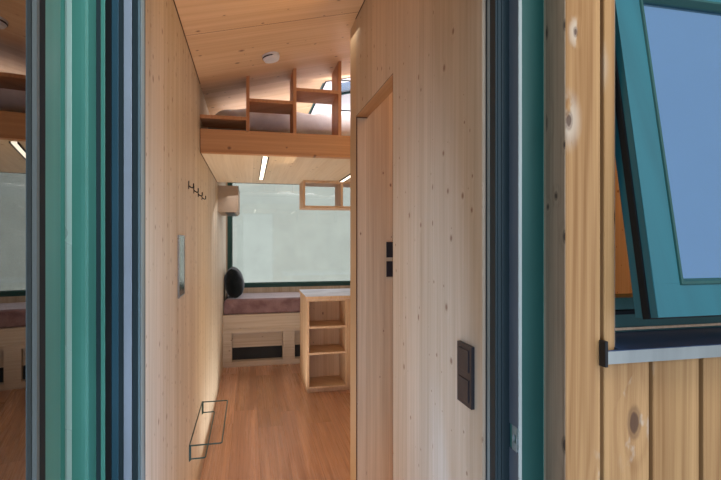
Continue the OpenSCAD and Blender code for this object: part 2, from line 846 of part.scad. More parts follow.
// Sheet under the door, folded down in front of the cladding
module door_sill() {
    lip = 30;
    color("steelblue") place()
        translate([doorway_x0, 0, floor_h]) rotate([90, 0, 90]) linear_extrude(height = doorway_w)
            polygon([[recess_d, 0], [recess_d, door_sill_t], [-door_sill_out, door_sill_t],
                [-door_sill_out, -lip], [-door_sill_out + door_sill_t, -lip],
                [-door_sill_out + door_sill_t, 0]]);
}

module door_frame() {
    step_y = recess_d + rebate_d;
    color("darkslategray") place() difference() {
        block([doorway_x0, recess_d, floor_h], [doorway_x1, inner_y0, floor_h + doorway_h]);
        block([lip_x0, recess_d - over, floor_h + threshold_h], [lip_x1, inner_y0 + over, lip_z]);
        block([lip_x0 - hinge_rebate_w, recess_d - over, floor_h + threshold_h],
            [lip_x1 + rebate_w, step_y, lip_z + rebate_w]);
        strike_place(over);
    }
}

// Place of the strike plate in the rebate's side, open to the doorway by the given depth
module strike_place(front) {
    gap = 8;
    translate([doorway_x1 - frame_w + rebate_w - front, recess_d + gap,
            floor_h + handle_h - strike_drop - strike_h / 2])
        cube([front + strike_t, strike_w, strike_h]);
}

module strike_plate() {
    color("silver") place() strike_place(0);
}

// Turns a piece from the leaf's own layout to where the leaf stands
module at_leaf() {
    place() translate([hinge_x, hinge_y, 0]) rotate([0, 0, -door_open]) children();
}

// The pane's edge lies in a groove of the leaf
module leaf_pane(t) {
    y1 = body_y1 - door_glass_in;
    block([leaf_edge + hinge_stile_w - groove, y1 - t, leaf_z0 + bottom_rail_h - groove],
        [leaf_x1 - lock_stile_w + groove, y1, leaf_z1 - top_rail_h + groove]);
}

// Leaf that lies before the frame, with a thicker body in the frame's rebate
module door_leaf() {
    color("darkslategray") at_leaf() difference() {
        union() {
            block([leaf_edge, leaf_y0, leaf_z0], [leaf_x1, leaf_y1, leaf_z1]);
            block([lip_x0 - hinge_rebate_w + body_room - hinge_x, leaf_y1 - over,
                    floor_h + threshold_h + body_room],
                [lip_x1 + rebate_w - body_swing - hinge_x, body_y1, lip_z + rebate_w - body_room]);
            for (z = hinge_zs) {
                translate([0, 0, z]) cylinder(r = barrel_r, h = knuckle_h, $fn = 32);
                block([0, leaf_y0 - plate_t, z], [leaf_edge + 30, leaf_y0, z + knuckle_h]);
            }
        }
        block([leaf_edge + hinge_stile_w, leaf_y0 - over, leaf_z0 + bottom_rail_h],
            [leaf_x1 - lock_stile_w, body_y1 + over, leaf_z1 - top_rail_h]);
        leaf_pane(door_glass_t);
        for (z = hinge_zs)
            translate([0, 0, z - over]) cylinder(r = pin_r, h = knuckle_h + 2 * over, $fn = 32);
    }
}

// Fixed halves of the hinges: two knuckles and the pin, on plates that lie on the corner
module door_hinges() {
    low = knuckle_h + knuckle_gap;
    plate_x = -house_w / 2 + 2 - hinge_x;
    color("silver") place() translate([hinge_x, hinge_y, 0]) for (z = hinge_zs) {
        translate([0, 0, z - low]) cylinder(r = pin_r - pin_clear, h = knuckle_h + 2 * low, $fn = 32);
        for (z0 = [z - low, z + low]) {
            translate([0, 0, z0]) cylinder(r = barrel_r, h = knuckle_h, $fn = 32);
            block([plate_x, -hinge_y - plate_t, z0], [0, -hinge_y, z0 + knuckle_h]);
        }
    }
}

module door_glass() {
    color("lightblue", 0.5) at_leaf() leaf_pane(door_glass_t);
}

module door_handles() {
    plate_w = 40;
    lever_r = 9;
    lever_out = 50;
    color("silver") at_leaf() for (inside = [0, 1])
        translate([leaf_x1 - handle_in, inside ? body_y1 : leaf_y0, floor_h + handle_h])
            mirror([0, 1 - inside, 0]) {
                translate([-plate_w / 2, 0, -handle_plate]) cube([plate_w, 8, 2 * handle_plate]);
                rotate([-90, 0, 0]) cylinder(r = lever_r, h = lever_out, $fn = 32);
                translate([lever_r, lever_out - lever_r, 0]) rotate([0, -90, 0])
                    cylinder(r = lever_r, h = lever_l, $fn = 32);
            }
}

module awning_frame() {
    color("darkslategray") place() difference() {
        block([awning_x, sash_back, floor_h + awning_z],
            [awning_x + awning_w, end_wall_t, floor_h + awning_z + awning_h]);
        block([awning_x + awning_frame_w, sash_back - over, floor_h + awning_z + awning_foot_w],
            [awning_x + awning_w - awning_frame_w, end_wall_t + over,
                floor_h + awning_z + awning_h - awning_frame_w]);
    }
}

// Turns a piece from the sash's own layout to where the sash stands
module at_sash() {
    place() translate([0, sash_y, sash_top]) rotate([-sash_open, 0, 0]) children();
}

module awning_sash() {
    color("darkslategray") at_sash()
        ring_y(sash_x0, sash_x1, -sash_h, 0, 0, sash_d, sash_w, (sash_d - glass_t) / 2, glass_t);
}

module awning_glass() {
    in = sash_w - groove;
    color("lightblue", 0.5) at_sash()
        block([sash_x0 + in, (sash_d - glass_t) / 2, -sash_h + in],
            [sash_x1 - in, (sash_d + glass_t) / 2, -in]);
}

// Point of the sash's back at a distance below its head
function sash_back_at(down) = [
    sash_y + sash_d * cos(sash_open) - down * sin(sash_open) + slip,
    sash_top - sash_d * sin(sash_open) - down * cos(sash_open)
];

// Bars between the frame's face and the back of the tilted sash, behind its stiles
module window_stays() {
    bar_w = 22;
    bar_t = 6;
    color("silver") place()
        for (x = [sash_x0 + stay_in, sash_x1 - stay_in - bar_t])
            translate([x, 0, 0]) rotate([90, 0, 90]) linear_extrude(height = bar_t)
                polygon([[sash_back, sash_top - stay_head], sash_back_at(stay_foot),
                    sash_back_at(stay_foot + bar_w), [sash_back, sash_top - stay_head - bar_w]]);
}

// Sheet under the window with a fall to the front, and a lip with end caps before the cladding
module window_sill() {
    back_z = floor_h + awning_z + sill_t + sill_fall;
    front_z = back_z - sill_fall;
    x0 = awning_x - sill_side;
    x1 = awning_x + awning_w + sill_side;
    cap_t = 6;
    cap_up = 19;
    cap_down = 5;
    color("steelblue") place() {
        translate([awning_x, 0, 0]) rotate([90, 0, 90]) linear_extrude(height = awning_w)
            polygon([[sash_back, back_z], [-sill_out, front_z], [-sill_out, front_z - sill_t],
                [sash_back, back_z - sill_t]]);
        block([x0, -sill_out, front_z - sill_lip], [x1, -sill_out + sill_t, front_z]);
        for (x = [x0 - cap_t, x1])
            block([x, -sill_out - 1, front_z - sill_lip - cap_down], [x + cap_t, -seat, front_z + cap_up]);
    }
}

module panorama_frame() {
    color("darkslategray") place()
        ring_y(-inner_x + pano_inset, inner_x - pano_inset, floor_h + pano_z, floor_h + pano_z + pano_h,
            inner_y1, inner_y1 + pano_frame_d, pano_frame_w, pano_pane_y, glass_t);
}

module panorama_glass() {
    in = pano_inset + pano_frame_w - groove;
    color("lightblue", 0.5) place()
        block([-inner_x + in, pano_pane_y, floor_h + pano_z + pano_frame_w - groove],
            [inner_x - in, pano_pane_y + glass_t, floor_h + pano_z + pano_h - pano_frame_w + groove]);
}

module skylight_frame() {
    color("darkslategray") place() difference() {
        union() {
            skylight_cut(0, roof_t + sheet_t + skylight_kerb);
            skylight_cut(roof_t + slip, roof_t + sheet_t + skylight_kerb, skylight_frame_w);
        }
        skylight_cut(-over, roof_t + sheet_t + skylight_kerb + over, -skylight_frame_w);
    }
}

module skylight_glass() {
    color("lightblue", 0.5) place()
        skylight_cut(roof_t + sheet_t + skylight_kerb - glass_t, roof_t + sheet_t + skylight_kerb,
            -skylight_frame_w);
}

module bath_partition() {
    color("burlywood") place()
        to_ceiling(partition_x, partition_x + partition_t, inner_y0, bath_door_y, floor_h);
}

module bath_door_head() {
    color("burlywood") place()
        to_ceiling(partition_x, partition_x + partition_t, bath_door_y, cross_y0, floor_h + bath_door_h);
}

module bath_cross_wall() {
    color("burlywood") place() to_ceiling(partition_x, inner_x, cross_y0, cross_y1, floor_h);
}

module loft_deck() {
    color("burlywood") place()
        block([-inner_x, loft_y + beam_t, floor_h + loft_z], [inner_x, loft_back, loft_top]);
}

module loft_beam() {
    color("burlywood") place()
        block([-inner_x, loft_y, floor_h + loft_z], [inner_x, loft_y + beam_t, beam_top]);
}

function guard_x(k) = -inner_x + guard_first + k * guard_pitch;

module guard_shelf() {
    steps = [guard_step_1, guard_step_2, guard_step_3];
    color("burlywood") place() {
        for (k = [0 : 3])
            to_ceiling(guard_x(k) - guard_t / 2, guard_x(k) + guard_t / 2,
                loft_y, loft_y + guard_d, beam_top);
        for (k = [0 : 2])
            block([k == 0 ? -inner_x : guard_x(k - 1), loft_y, beam_top + steps[k] - guard_t],
                [guard_x(k), loft_y + guard_d, beam_top + steps[k]]);
    }
}

module guard_rods() {
    color("black") place()
        for (z = [rod_low, rod_high])
            translate([guard_x(2) + guard_t / 2, loft_y + guard_d / 2, beam_top + z]) rotate([0, 90, 0])
                cylinder(r = rod_dia / 2, h = guard_pitch - guard_t, $fn = 24);
}

module loft_mattress() {
    color("white") place()
        block([-inner_x + seat, loft_y + guard_d + loft_mattress_in, loft_top + seat],
            [inner_x - seat, loft_back - loft_mattress_in, loft_top + loft_mattress_t]);
}

module light_strips() {
    y0 = loft_y + beam_t + strip_end_in;
    y1 = loft_back - hang_d - strip_end_in;
    color("white") place()
        for (k = [0, 1])
            translate([-inner_x + strip_in + k * strip_pitch - strip_w / 2, y0, floor_h + loft_z - strip_t])
                cube([strip_w, y1 - y0, strip_t]);
}

module hanging_shelf() {
    z0 = floor_h + loft_z - hang_h;
    color("burlywood") place() difference() {
        block([hang_x, loft_back - hang_d, z0],
            [hang_x + hang_bays * hang_bay + board_t, loft_back, floor_h + loft_z]);
        for (k = [0 : hang_bays - 1])
            block([hang_x + board_t + k * hang_bay, loft_back - hang_d - over, z0 + board_t],
                [hang_x + (k + 1) * hang_bay, loft_back + over, floor_h + loft_z - board_t]);
    }
}

module kitchen_cabinet() {
    x1 = counter_x + end_shelf_w;
    y1 = counter_y + counter_d;
    top = floor_h + counter_h - worktop_t;
    levels = [floor_h + plinth_h, floor_h + end_shelf_z1, floor_h + end_shelf_z2, top];
    color("burlywood") place() difference() {
        block([counter_x, counter_y, floor_h], [inner_x, y1, top]);
        for (k = [0 : 2])
            block([counter_x + board_t, counter_y - over, levels[k] + (k == 0 ? 0 : board_t)],
                [x1 - board_t, counter_y + end_shelf_d, levels[k + 1] - (k == 2 ? board_t : 0)]);
        block([x1, counter_y - over, floor_h + plinth_h], [inner_x + over, counter_y + front_t, top]);
        block([counter_x - over, counter_y - over, floor_h - over],
            [inner_x + over, counter_y + plinth_in, floor_h + plinth_h - board_t]);
    }
}

module worktop() {
    color("white") place()
        block([counter_x - worktop_out, counter_y - worktop_out, floor_h + counter_h - worktop_t],
            [inner_x, counter_y + counter_d + worktop_out, floor_h + counter_h]);
}

module drawer_fronts() {
    x1 = counter_x + end_shelf_w;
    bottom = floor_h + plinth_h;
    top = floor_h + counter_h - worktop_t;
    cuts = [top - front_gap, top - front_gap - front_h1, top - 2 * front_gap - front_h1 - front_h2,
        bottom];
    half = (inner_x - x1) / 2;
    color("burlywood") place()
        for (c = [0, 1], k = [0 : 2])
            block([x1 + c * half + front_gap / 2, counter_y, cuts[k + 1] + (k == 2 ? 0 : front_gap / 2)],
                [x1 + (c + 1) * half - front_gap / 2, counter_y + front_t, cuts[k] - front_gap / 2]);
}

module day_bed_base() {
    z_open0 = floor_h + bed_plinth_h;
    z_open1 = floor_h + bed_open_top;
    n = floor((2 * inner_x - bed_stile + bed_mullion) / (bed_open_w + bed_mullion));
    color("burlywood") place() difference() {
        union() {
            block([-inner_x, bed_y, floor_h], [inner_x, inner_y1, bed_top]);
            block([-inner_x, bed_y - bed_rail_out, z_open1],
                [inner_x, bed_y, z_open1 + bed_rail_h]);
        }
        for (k = [0 : n - 1])
            block([-inner_x + bed_stile + k * (bed_open_w + bed_mullion), bed_y - over, z_open0],
                [-inner_x + bed_stile + k * (bed_open_w + bed_mullion) + bed_open_w,
                    inner_y1 - bed_panel_t, z_open1]);
    }
}

module day_bed_mattress() {
    color("rosybrown") place()
        block([-inner_x + seat, bed_y + bed_mattress_in, bed_top + seat],
            [inner_x - seat, inner_y1 - seat, bed_top + bed_mattress_t]);
}

module day_bed_pillow() {
    color("black") place()
        translate([-inner_x + seat + pillow_h * sin(pillow_lean), bed_y + pillow_in,
            bed_top + bed_mattress_t + seat])
            rotate([0, -pillow_lean, 0]) cube([pillow_t, pillow_l, pillow_h]);
}

module wall_unit() {
    z0 = floor_h + unit_z;
    color("tan") place()
        prism_y(unit_y, unit_y + unit_l, [[-inner_x, z0], [-inner_x + unit_out - unit_chamfer, z0],
            [-inner_x + unit_out, z0 + unit_chamfer], [-inner_x + unit_out, z0 + unit_h],
            [-inner_x, z0 + unit_h]]);
}

module smoke_detector() {
    x = -inner_x + detector_from_wall;
    r = detector_dia / 2;
    color("white") place()
        translate([x, loft_y - detector_from_loft, ceiling_z(x)]) rotate([0, 180 - slope_angle, 0])
            rotate_extrude($fn = 48)
                polygon([[0, 0], [r, 0], [r, detector_h * 0.5], [r * 0.84, detector_h], [0, detector_h]]);
}

module coat_hooks() {
    peg_r = 3.5;
    plate_h = 40;
    color("black") place() for (k = [0 : 3])
        translate([-inner_x, hook_y + k * hook_pitch, floor_h + hook_z]) {
            translate([0, -peg_r * 1.6, -plate_h * 0.6]) cube([4, peg_r * 3.2, plate_h]);
            rotate([0, 90, 0]) cylinder(r = peg_r, h = hook_out, $fn = 24);
            translate([hook_out - peg_r, 0, 0]) cylinder(r = peg_r, h = plate_h * 0.4, $fn = 24);
            translate([0, 0, -plate_h * 0.4]) rotate([0, 90, 0])
                cylinder(r = peg_r, h = hook_out * 0.6, $fn = 24);
        }
}

module wall_mirror() {
    color("silver") place() translate([-inner_x, mirror_y, floor_h + mirror_z])
        cube([mirror_t, mirror_w, mirror_h]);
}

module rack_loop(out, z) {
    r = wire_dia / 2;
    block([0, 0, z - r], [out, wire_dia, z + r]);
    block([0, rack_l - wire_dia, z - r], [out, rack_l, z + r]);
    block([out - wire_dia, 0, z - r], [out, rack_l, z + r]);
}

module wire_rack() {
    color("darkslategray") place() translate([-inner_x, rack_y, floor_h]) {
        rack_loop(rack_out, rack_z);
        rack_loop(rack_upper_out, rack_z + rack_rise);
        for (y = [0, rack_l - wire_dia])
            block([0, y, rack_z - wire_dia / 2], [wire_dia, y + wire_dia, rack_z + rack_rise + wire_dia / 2]);
    }
}

module wall_switches() {
    color("black") place() {
        translate([partition_x - switch_t, inner_y0 + double_in, floor_h + double_z])
            cube([switch_t, switch_w, double_h]);
        for (k = [0, 1])
            translate([partition_x + cross_switch_in, cross_y0 - switch_t,
                floor_h + cross_switch_z + k * cross_switch_pitch])
                cube([switch_w, switch_t, switch_w]);
    }
}

chassis_frame();
drawbar();
axles();
tyres();
wheel_rims();
corner_legs();
jockey_wheel();
floor_deck();
left_wall();
right_wall();
front_wall_right();
front_wall_head();
rear_wall();
side_cladding();
front_cladding();
rear_cladding();
roof_deck();
roof_sheet();
roof_trim();
corner_lining();
door_sill();
door_frame();
door_leaf();
door_glass();
door_handles();
door_hinges();
strike_plate();
awning_frame();
awning_sash();
awning_glass();
window_stays();
window_sill();
panorama_frame();
panorama_glass();
skylight_frame();
skylight_glass();
bath_partition();
bath_door_head();
bath_cross_wall();
loft_deck();
loft_beam();
guard_shelf();
guard_rods();
loft_mattress();
light_strips();
hanging_shelf();
kitchen_cabinet();
worktop();
drawer_fronts();
day_bed_base();
day_bed_mattress();
day_bed_pillow();
wall_unit();
smoke_detector();
coat_hooks();
wall_mirror();
wire_rack();
wall_switches();
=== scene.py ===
"""Looks of a tiny house on wheels, seen level through its own open entrance door."""
import math
import random

import bmesh
import bpy
from mathutils import Matrix, Vector, noise


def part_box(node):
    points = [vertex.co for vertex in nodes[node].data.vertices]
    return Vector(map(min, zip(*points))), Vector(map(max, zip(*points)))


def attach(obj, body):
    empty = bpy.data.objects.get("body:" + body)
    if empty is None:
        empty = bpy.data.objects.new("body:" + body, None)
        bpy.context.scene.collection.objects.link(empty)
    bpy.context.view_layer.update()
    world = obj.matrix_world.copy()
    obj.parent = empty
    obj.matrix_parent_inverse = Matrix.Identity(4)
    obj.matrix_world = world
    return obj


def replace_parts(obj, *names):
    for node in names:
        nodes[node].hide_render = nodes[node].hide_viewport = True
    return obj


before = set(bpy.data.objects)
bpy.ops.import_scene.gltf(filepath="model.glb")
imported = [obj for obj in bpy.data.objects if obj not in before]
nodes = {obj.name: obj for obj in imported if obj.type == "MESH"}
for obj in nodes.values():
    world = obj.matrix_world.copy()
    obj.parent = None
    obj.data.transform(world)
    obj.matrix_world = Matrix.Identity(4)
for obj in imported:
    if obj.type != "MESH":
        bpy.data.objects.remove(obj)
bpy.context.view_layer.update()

# Places: y counts from the entrance wall's outer face and z from the floor, both in metres
FRONT_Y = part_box("front_cladding")[0].y
HOUSE_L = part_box("rear_cladding")[1].y - FRONT_Y
FLOOR_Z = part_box("floor_deck")[1].z
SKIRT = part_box("side_cladding")[0].z - FLOOR_Z
HALF_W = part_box("side_cladding")[1].x
CORE_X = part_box("right_wall")[1].x
INNER_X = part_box("right_wall")[0].x
INNER_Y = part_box("left_wall")[0].y - FRONT_Y
REAR_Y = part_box("left_wall")[1].y - FRONT_Y
SLOPE = (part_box("right_wall")[1].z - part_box("left_wall")[1].z) / (CORE_X + INNER_X)
CEILING_0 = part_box("left_wall")[1].z - FLOOR_Z + INNER_X * SLOPE
ROOF_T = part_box("roof_deck")[1].z - FLOOR_Z - CEILING_0 - CORE_X * SLOPE
BOARD_T = 0.019
FILM_T = 0.0012
CORNER = Vector((0, FRONT_Y, FLOOR_Z))
QUARTER = math.radians(90)


def at(x, y, z):
    """A place in the house as a point of the frame."""
    return CORNER + Vector((x, y, z))


def place(node):
    """A node's box as x, y and z limits in the house."""
    lo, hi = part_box(node)
    return lo - CORNER, hi - CORNER


def ceiling(x):
    return CEILING_0 + x * SLOPE


def roof(x):
    return ceiling(x) + ROOF_T


def shift(x, y, z):
    return Matrix.Translation((x, y, z))


# Layouts of the house, of the open leaf from its hinge axis, and of the tilted sash from its head
HINGE_X = -1.218
HOUSE = shift(*CORNER)
LEAF = shift(*at(HINGE_X, -0.006, 0)) @ Matrix.Rotation(-math.radians(82.4), 4, "Z")
SASH = shift(*at(0, 0.028, 2.043)) @ Matrix.Rotation(-math.radians(9.5), 4, "X")


def local_box(node, turned):
    """A node's box in the layout of a turned piece."""
    back = turned.inverted()
    points = [back @ v.co for v in nodes[node].data.vertices]
    return Vector(map(min, zip(*points))), Vector(map(max, zip(*points)))


def rgb(r, g, b):
    """A colour as a screen shows it, made linear."""
    return tuple((c / 255 / 12.92) if c <= 10 else ((c / 255 + 0.055) / 1.055) ** 2.4
                 for c in (r, g, b)) + (1.0,)


def darker(color, share):
    return rgb(*(int(c * share) for c in color))


class Shade:
    """Short calls for the nodes of one material or of the world."""

    def __init__(self, owner=None):
        self.owner = owner or bpy.data.materials.new("shade")
        self.owner.use_nodes = True
        self.tree = self.owner.node_tree
        self.tree.nodes.clear()
        self.place = self.add("TexCoord").outputs["Object"]
        self.x, self.y, self.z = self.add("SeparateXYZ", {0: self.place}).outputs

    def add(self, kind, inputs=None, **settings):
        node = self.tree.nodes.new("ShaderNode" + kind)
        for key, value in settings.items():
            setattr(node, key, value)
        for key, value in (inputs or {}).items():
            if isinstance(value, bpy.types.NodeSocket):
                self.tree.links.new(value, node.inputs[key])
            else:
                node.inputs[key].default_value = value
        return node

    def calc(self, operation, a, b=0.0, c=0.0):
        return self.add("Math", {0: a, 1: b, 2: c}, operation=operation).outputs[0]

    def times(self, a, b, extra=None):
        """a times b, plus the extra value where there is one."""
        if extra is None:
            return self.calc("MULTIPLY", a, b)
        return self.calc("MULTIPLY_ADD", a, b, extra)

    def plus(self, a, b):
        return self.calc("ADD", a, b)

    def vector(self, x, y, z=0.0):
        return self.add("CombineXYZ", {0: x, 1: y, 2: z}).outputs[0]

    def cloud(self, vector, scale, detail=3.0, rough=0.5, warp=0.0):
        return self.add("TexNoise", {"Vector": vector, "Scale": scale, "Detail": detail,
                                     "Roughness": rough, "Distortion": warp}).outputs[0]

    def span(self, value, low, high, to_low=0.0, to_high=1.0):
        """A value mapped smoothly from one range to another, and held there."""
        return self.add("MapRange", {0: value, 1: low, 2: high, 3: to_low, 4: to_high},
                        interpolation_type="SMOOTHSTEP").outputs[0]

    def blend(self, factor, a, b, mode="MIX"):
        return self.add("Mix", {0: factor, 6: a, 7: b}, data_type="RGBA", blend_type=mode).outputs[2]

    def chance(self, value):
        return self.add("TexWhiteNoise", {"W": value}, noise_dimensions="1D").outputs[0]

    def bump(self, height, distance, strength=1.0):
        return self.add("Bump", {"Height": height, "Distance": distance,
                                 "Strength": strength}).outputs[0]

    def surface(self, color, rough, normal=None, **fixed):
        inputs = {"Base Color": color, "Roughness": rough}
        if normal:
            inputs["Normal"] = normal
        inputs.update({key.replace("_", " "): value for key, value in fixed.items()})
        self.add("OutputMaterial", {0: self.add("BsdfPrincipled", inputs).outputs[0]})
        return self.owner


def wood(light, dark, along="z", across="x", stave=0.0, plank=0.0, figure=0.10, cells=(9.0, 5.0),
         knot=0.0032, knot_share=0.45, knot_tone=(116, 78, 54), patch=0.0, uneven=0.10, rough=0.5,
         joint=0.12, contrast=1.0):
    """Sawn wood: streaks, fibres, a ring figure, knots, and staves or planks that differ in tone."""
    s = Shade()
    axis = {"x": s.x, "y": s.y, "z": s.z, "xy": s.plus(s.x, s.y)}
    u, v = axis[across], axis[along]
    seed = s.times(s.add("Attribute", attribute_name="board").outputs["Fac"], 37.0)
    lines = 0.0

    def joint_lines(steps, half_line):
        off = s.calc("ABSOLUTE", s.calc("SUBTRACT", s.calc("FRACT", steps), 0.5))
        return s.span(off, 0.5 - half_line, 0.5)

    if stave:
        lane = s.calc("DIVIDE", u, stave)
        seed = s.times(s.calc("FLOOR", lane), 3.71, seed)
        lines = joint_lines(lane, 0.0014 / stave)
    if plank:
        course = s.plus(s.calc("DIVIDE", v, plank), s.chance(seed))
        seed = s.times(s.calc("FLOOR", course), 0.61, seed)
        lines = s.calc("MAXIMUM", lines, joint_lines(course, 0.0012 / plank))
    v = s.times(seed, 1.91, v)

    def streaks(way, wide, long, detail):
        return s.cloud(s.vector(s.times(way, wide), s.times(v, long), seed), 1.0, detail)

    # Knots: one may sit in each cell, stretched along the board
    spot = s.vector(s.times(u, cells[0], seed), s.times(v, cells[1]))
    cell = s.add("TexVoronoi", {"Vector": spot, "Scale": 1.0}, voronoi_dimensions="2D")
    pick = s.add("SeparateColor", {0: cell.outputs["Color"]}).outputs
    rag = streaks(u, 120.0, 60.0, 2.0)
    away = s.times(rag, knot * 0.5, s.calc("DIVIDE", cell.outputs["Distance"], cells[0]))
    size = s.times(s.times(pick[1], pick[1]), knot * 1.5, knot * 0.6)
    ratio = s.calc("DIVIDE", away, size)
    present = s.calc("GREATER_THAN", knot_share, pick[0])
    core = s.times(present, s.span(ratio, 0.8, 1.35, 1.0, 0.0))
    halo = s.times(present, s.span(ratio, 0.9, 5.0, 1.0, 0.0))
    # Streaks of three widths, and rings that drift and part round the knots
    bent = s.times(halo, 0.004, u)
    fine = streaks(bent, 320.0, 3.0, 2.0)
    mid = streaks(bent, 62.0, 0.7, 3.0)
    broad = streaks(bent, 9.0, 0.5, 2.0)
    drift = streaks(u, 5.5, 0.42, 1.5)
    phase = s.times(drift, 62.0, s.times(halo, 5.0, s.times(u, 60.0)))
    ring = s.calc("POWER", s.times(s.calc("SINE", phase), 0.5, 0.5), 2.5)
    tone = s.times(s.span(mid, 0.3, 0.72), 0.42)
    tone = s.times(s.span(fine, 0.3, 0.72), 0.22, tone)
    tone = s.times(s.span(broad, 0.3, 0.7), 0.36, tone)
    tone = s.times(ring, figure, s.times(tone, contrast))
    color = s.blend(tone, rgb(*light), rgb(*dark))
    level = s.times(s.chance(s.plus(seed, 5.3)), uneven, 1.0 - uneven / 2)
    color = s.blend(1.0, color, s.vector(level, level, s.calc("POWER", level, 1.3)), "MULTIPLY")
    if patch:
        near = s.times(s.span(ratio, 1.4, 5.0, 1.0, 0.0), present)
        worn = s.times(near, s.span(streaks(u, 22.0, 11.0, 4.0), 0.50, 0.58))
        color = s.blend(s.times(worn, patch), color, rgb(196, 184, 162))
    rim = s.span(s.calc("ABSOLUTE", s.calc("SUBTRACT", ratio, 1.25)), 0.0, 0.5, 0.45, 0.0)
    dark_part = s.calc("MAXIMUM", s.times(core, 0.86), s.times(present, rim))
    color = s.blend(dark_part, color, rgb(*knot_tone))
    color = s.blend(s.times(lines, joint), color, rgb(*knot_tone))
    height = s.times(ring, 0.3, s.times(fine, 0.5))
    height = s.calc("SUBTRACT", height, s.times(lines, 1.6))
    gloss = s.span(s.plus(fine, broad), 0.6, 1.4, rough - 0.05, rough + 0.1)
    return s.surface(color, gloss, s.bump(height, 0.0004, 0.7), Specular_IOR_Level=0.35)


def coated(color, rough=0.38, uneven=0.14, metallic=0.0):
    """Coated metal with the coat's fine skin, faint dust and small changes of tone."""
    s = Shade()
    broad = s.cloud(s.place, 2.2, 4.0)
    streak = s.cloud(s.vector(s.times(s.plus(s.x, s.y), 26.0), s.times(s.z, 1.4)), 1.0, 3.0)
    tone = s.span(s.plus(broad, streak), 0.65, 1.35, 1.0 - uneven, 1.0 + uneven)
    mixed = s.blend(1.0, rgb(*color), s.vector(tone, tone, tone), "MULTIPLY")
    gloss = s.span(broad, 0.3, 0.7, rough - 0.05, rough + 0.1)
    return s.surface(mixed, gloss, s.bump(s.cloud(s.place, 420.0, 2.0), 0.00012), Metallic=metallic)


def steel(color, rough=0.3, spangle=False):
    """Bare or galvanised steel."""
    s = Shade()
    grain = s.cloud(s.vector(s.times(s.x, 40.0), s.times(s.y, 40.0), s.times(s.z, 900.0)), 1.0, 3.0)
    broad = s.cloud(s.place, 9.0, 5.0, 0.6)
    factor = s.span(broad, 0.3, 0.75)
    if spangle:
        flake = s.add("TexVoronoi", {"Vector": s.place, "Scale": 70.0}).outputs["Color"]
        factor = s.times(s.add("SeparateColor", {0: flake}).outputs[0], 0.45, s.times(factor, 0.6))
    mixed = s.blend(factor, rgb(*color), darker(color, 0.74))
    gloss = s.span(s.plus(grain, broad), 0.6, 1.4, rough - 0.06, rough + 0.14)
    return s.surface(mixed, gloss, s.bump(grain, 0.00006), Metallic=0.85 if spangle else 1.0)


def plastic(color, rough=0.45, grain=300.0, bump=0.00015):
    s = Shade()
    broad = s.cloud(s.place, 6.0, 3.0)
    mixed = s.blend(s.span(broad, 0.3, 0.7), rgb(*color), darker(color, 0.9))
    return s.surface(mixed, s.span(broad, 0.3, 0.7, rough - 0.04, rough + 0.06),
                     s.bump(s.cloud(s.place, grain, 2.0), bump))


def cloth(light, dark, thread=0.0016, pile=0.0, sheen=0.4):
    """Woven cloth: two crossing sets of threads, soft shading of tone and an optional pile."""
    s = Shade()
    count = 2 * math.pi / thread
    warp = s.calc("SINE", s.times(s.plus(s.x, s.times(s.z, 0.35)), count))
    weft = s.calc("SINE", s.times(s.plus(s.y, s.z), count))
    weave = s.times(warp, weft)
    fleck = s.cloud(s.place, 900.0, 2.0)
    broad = s.cloud(s.place, 7.0, 5.0, 0.6, 0.4)
    factor = s.plus(s.times(s.span(broad, 0.3, 0.7), 0.6), s.times(s.span(fleck, 0.3, 0.7), 0.4))
    mixed = s.blend(factor, rgb(*light), rgb(*dark))
    mixed = s.blend(s.span(weave, -1.0, 1.0, 0.0, 0.12), mixed, rgb(*dark))
    height = s.plus(s.times(weave, 0.5), s.times(fleck, 0.6 + pile))
    return s.surface(mixed, 0.85, s.bump(height, 0.0004, 0.7), Sheen_Weight=sheen,
                     Sheen_Roughness=0.4, Specular_IOR_Level=0.2)


def glass(tint, index, mirror=0.0):
    """Coated insulating glass. The tint and the faint film vary a little over the pane."""
    s = Shade()
    film = s.cloud(s.place, 3.0, 5.0, 0.6)
    mixed = s.blend(s.span(film, 0.3, 0.7), rgb(*tint), darker(tint, 0.985))
    return s.surface(mixed, 0.0, Transmission_Weight=1.0, IOR=index, Metallic=mirror)


def glow(color, strength):
    s = Shade()
    spots = s.cloud(s.place, 60.0, 2.0)
    mixed = s.blend(s.span(spots, 0.3, 0.7, 0.0, 0.2), rgb(*color), rgb(255, 225, 180))
    return s.surface(mixed, 0.5, Emission_Color=mixed, Emission_Strength=strength)


def stage_ground(color, camera_color):
    """A plain matt ground that the camera, mirrors and glass see as a pale tone."""
    s = Shade()
    rays = s.add("LightPath").outputs
    seen = s.calc("MAXIMUM", rays["Is Camera Ray"],
                  s.calc("MAXIMUM", rays["Is Glossy Ray"], rays["Is Transmission Ray"]))
    tone = s.cloud(s.place, 0.7, 3.0)
    base = s.blend(s.span(tone, 0.3, 0.7, 0.0, 0.3), rgb(*color), rgb(*camera_color))
    return s.surface(s.blend(seen, base, rgb(*camera_color)), 0.8, Specular_IOR_Level=0.1)


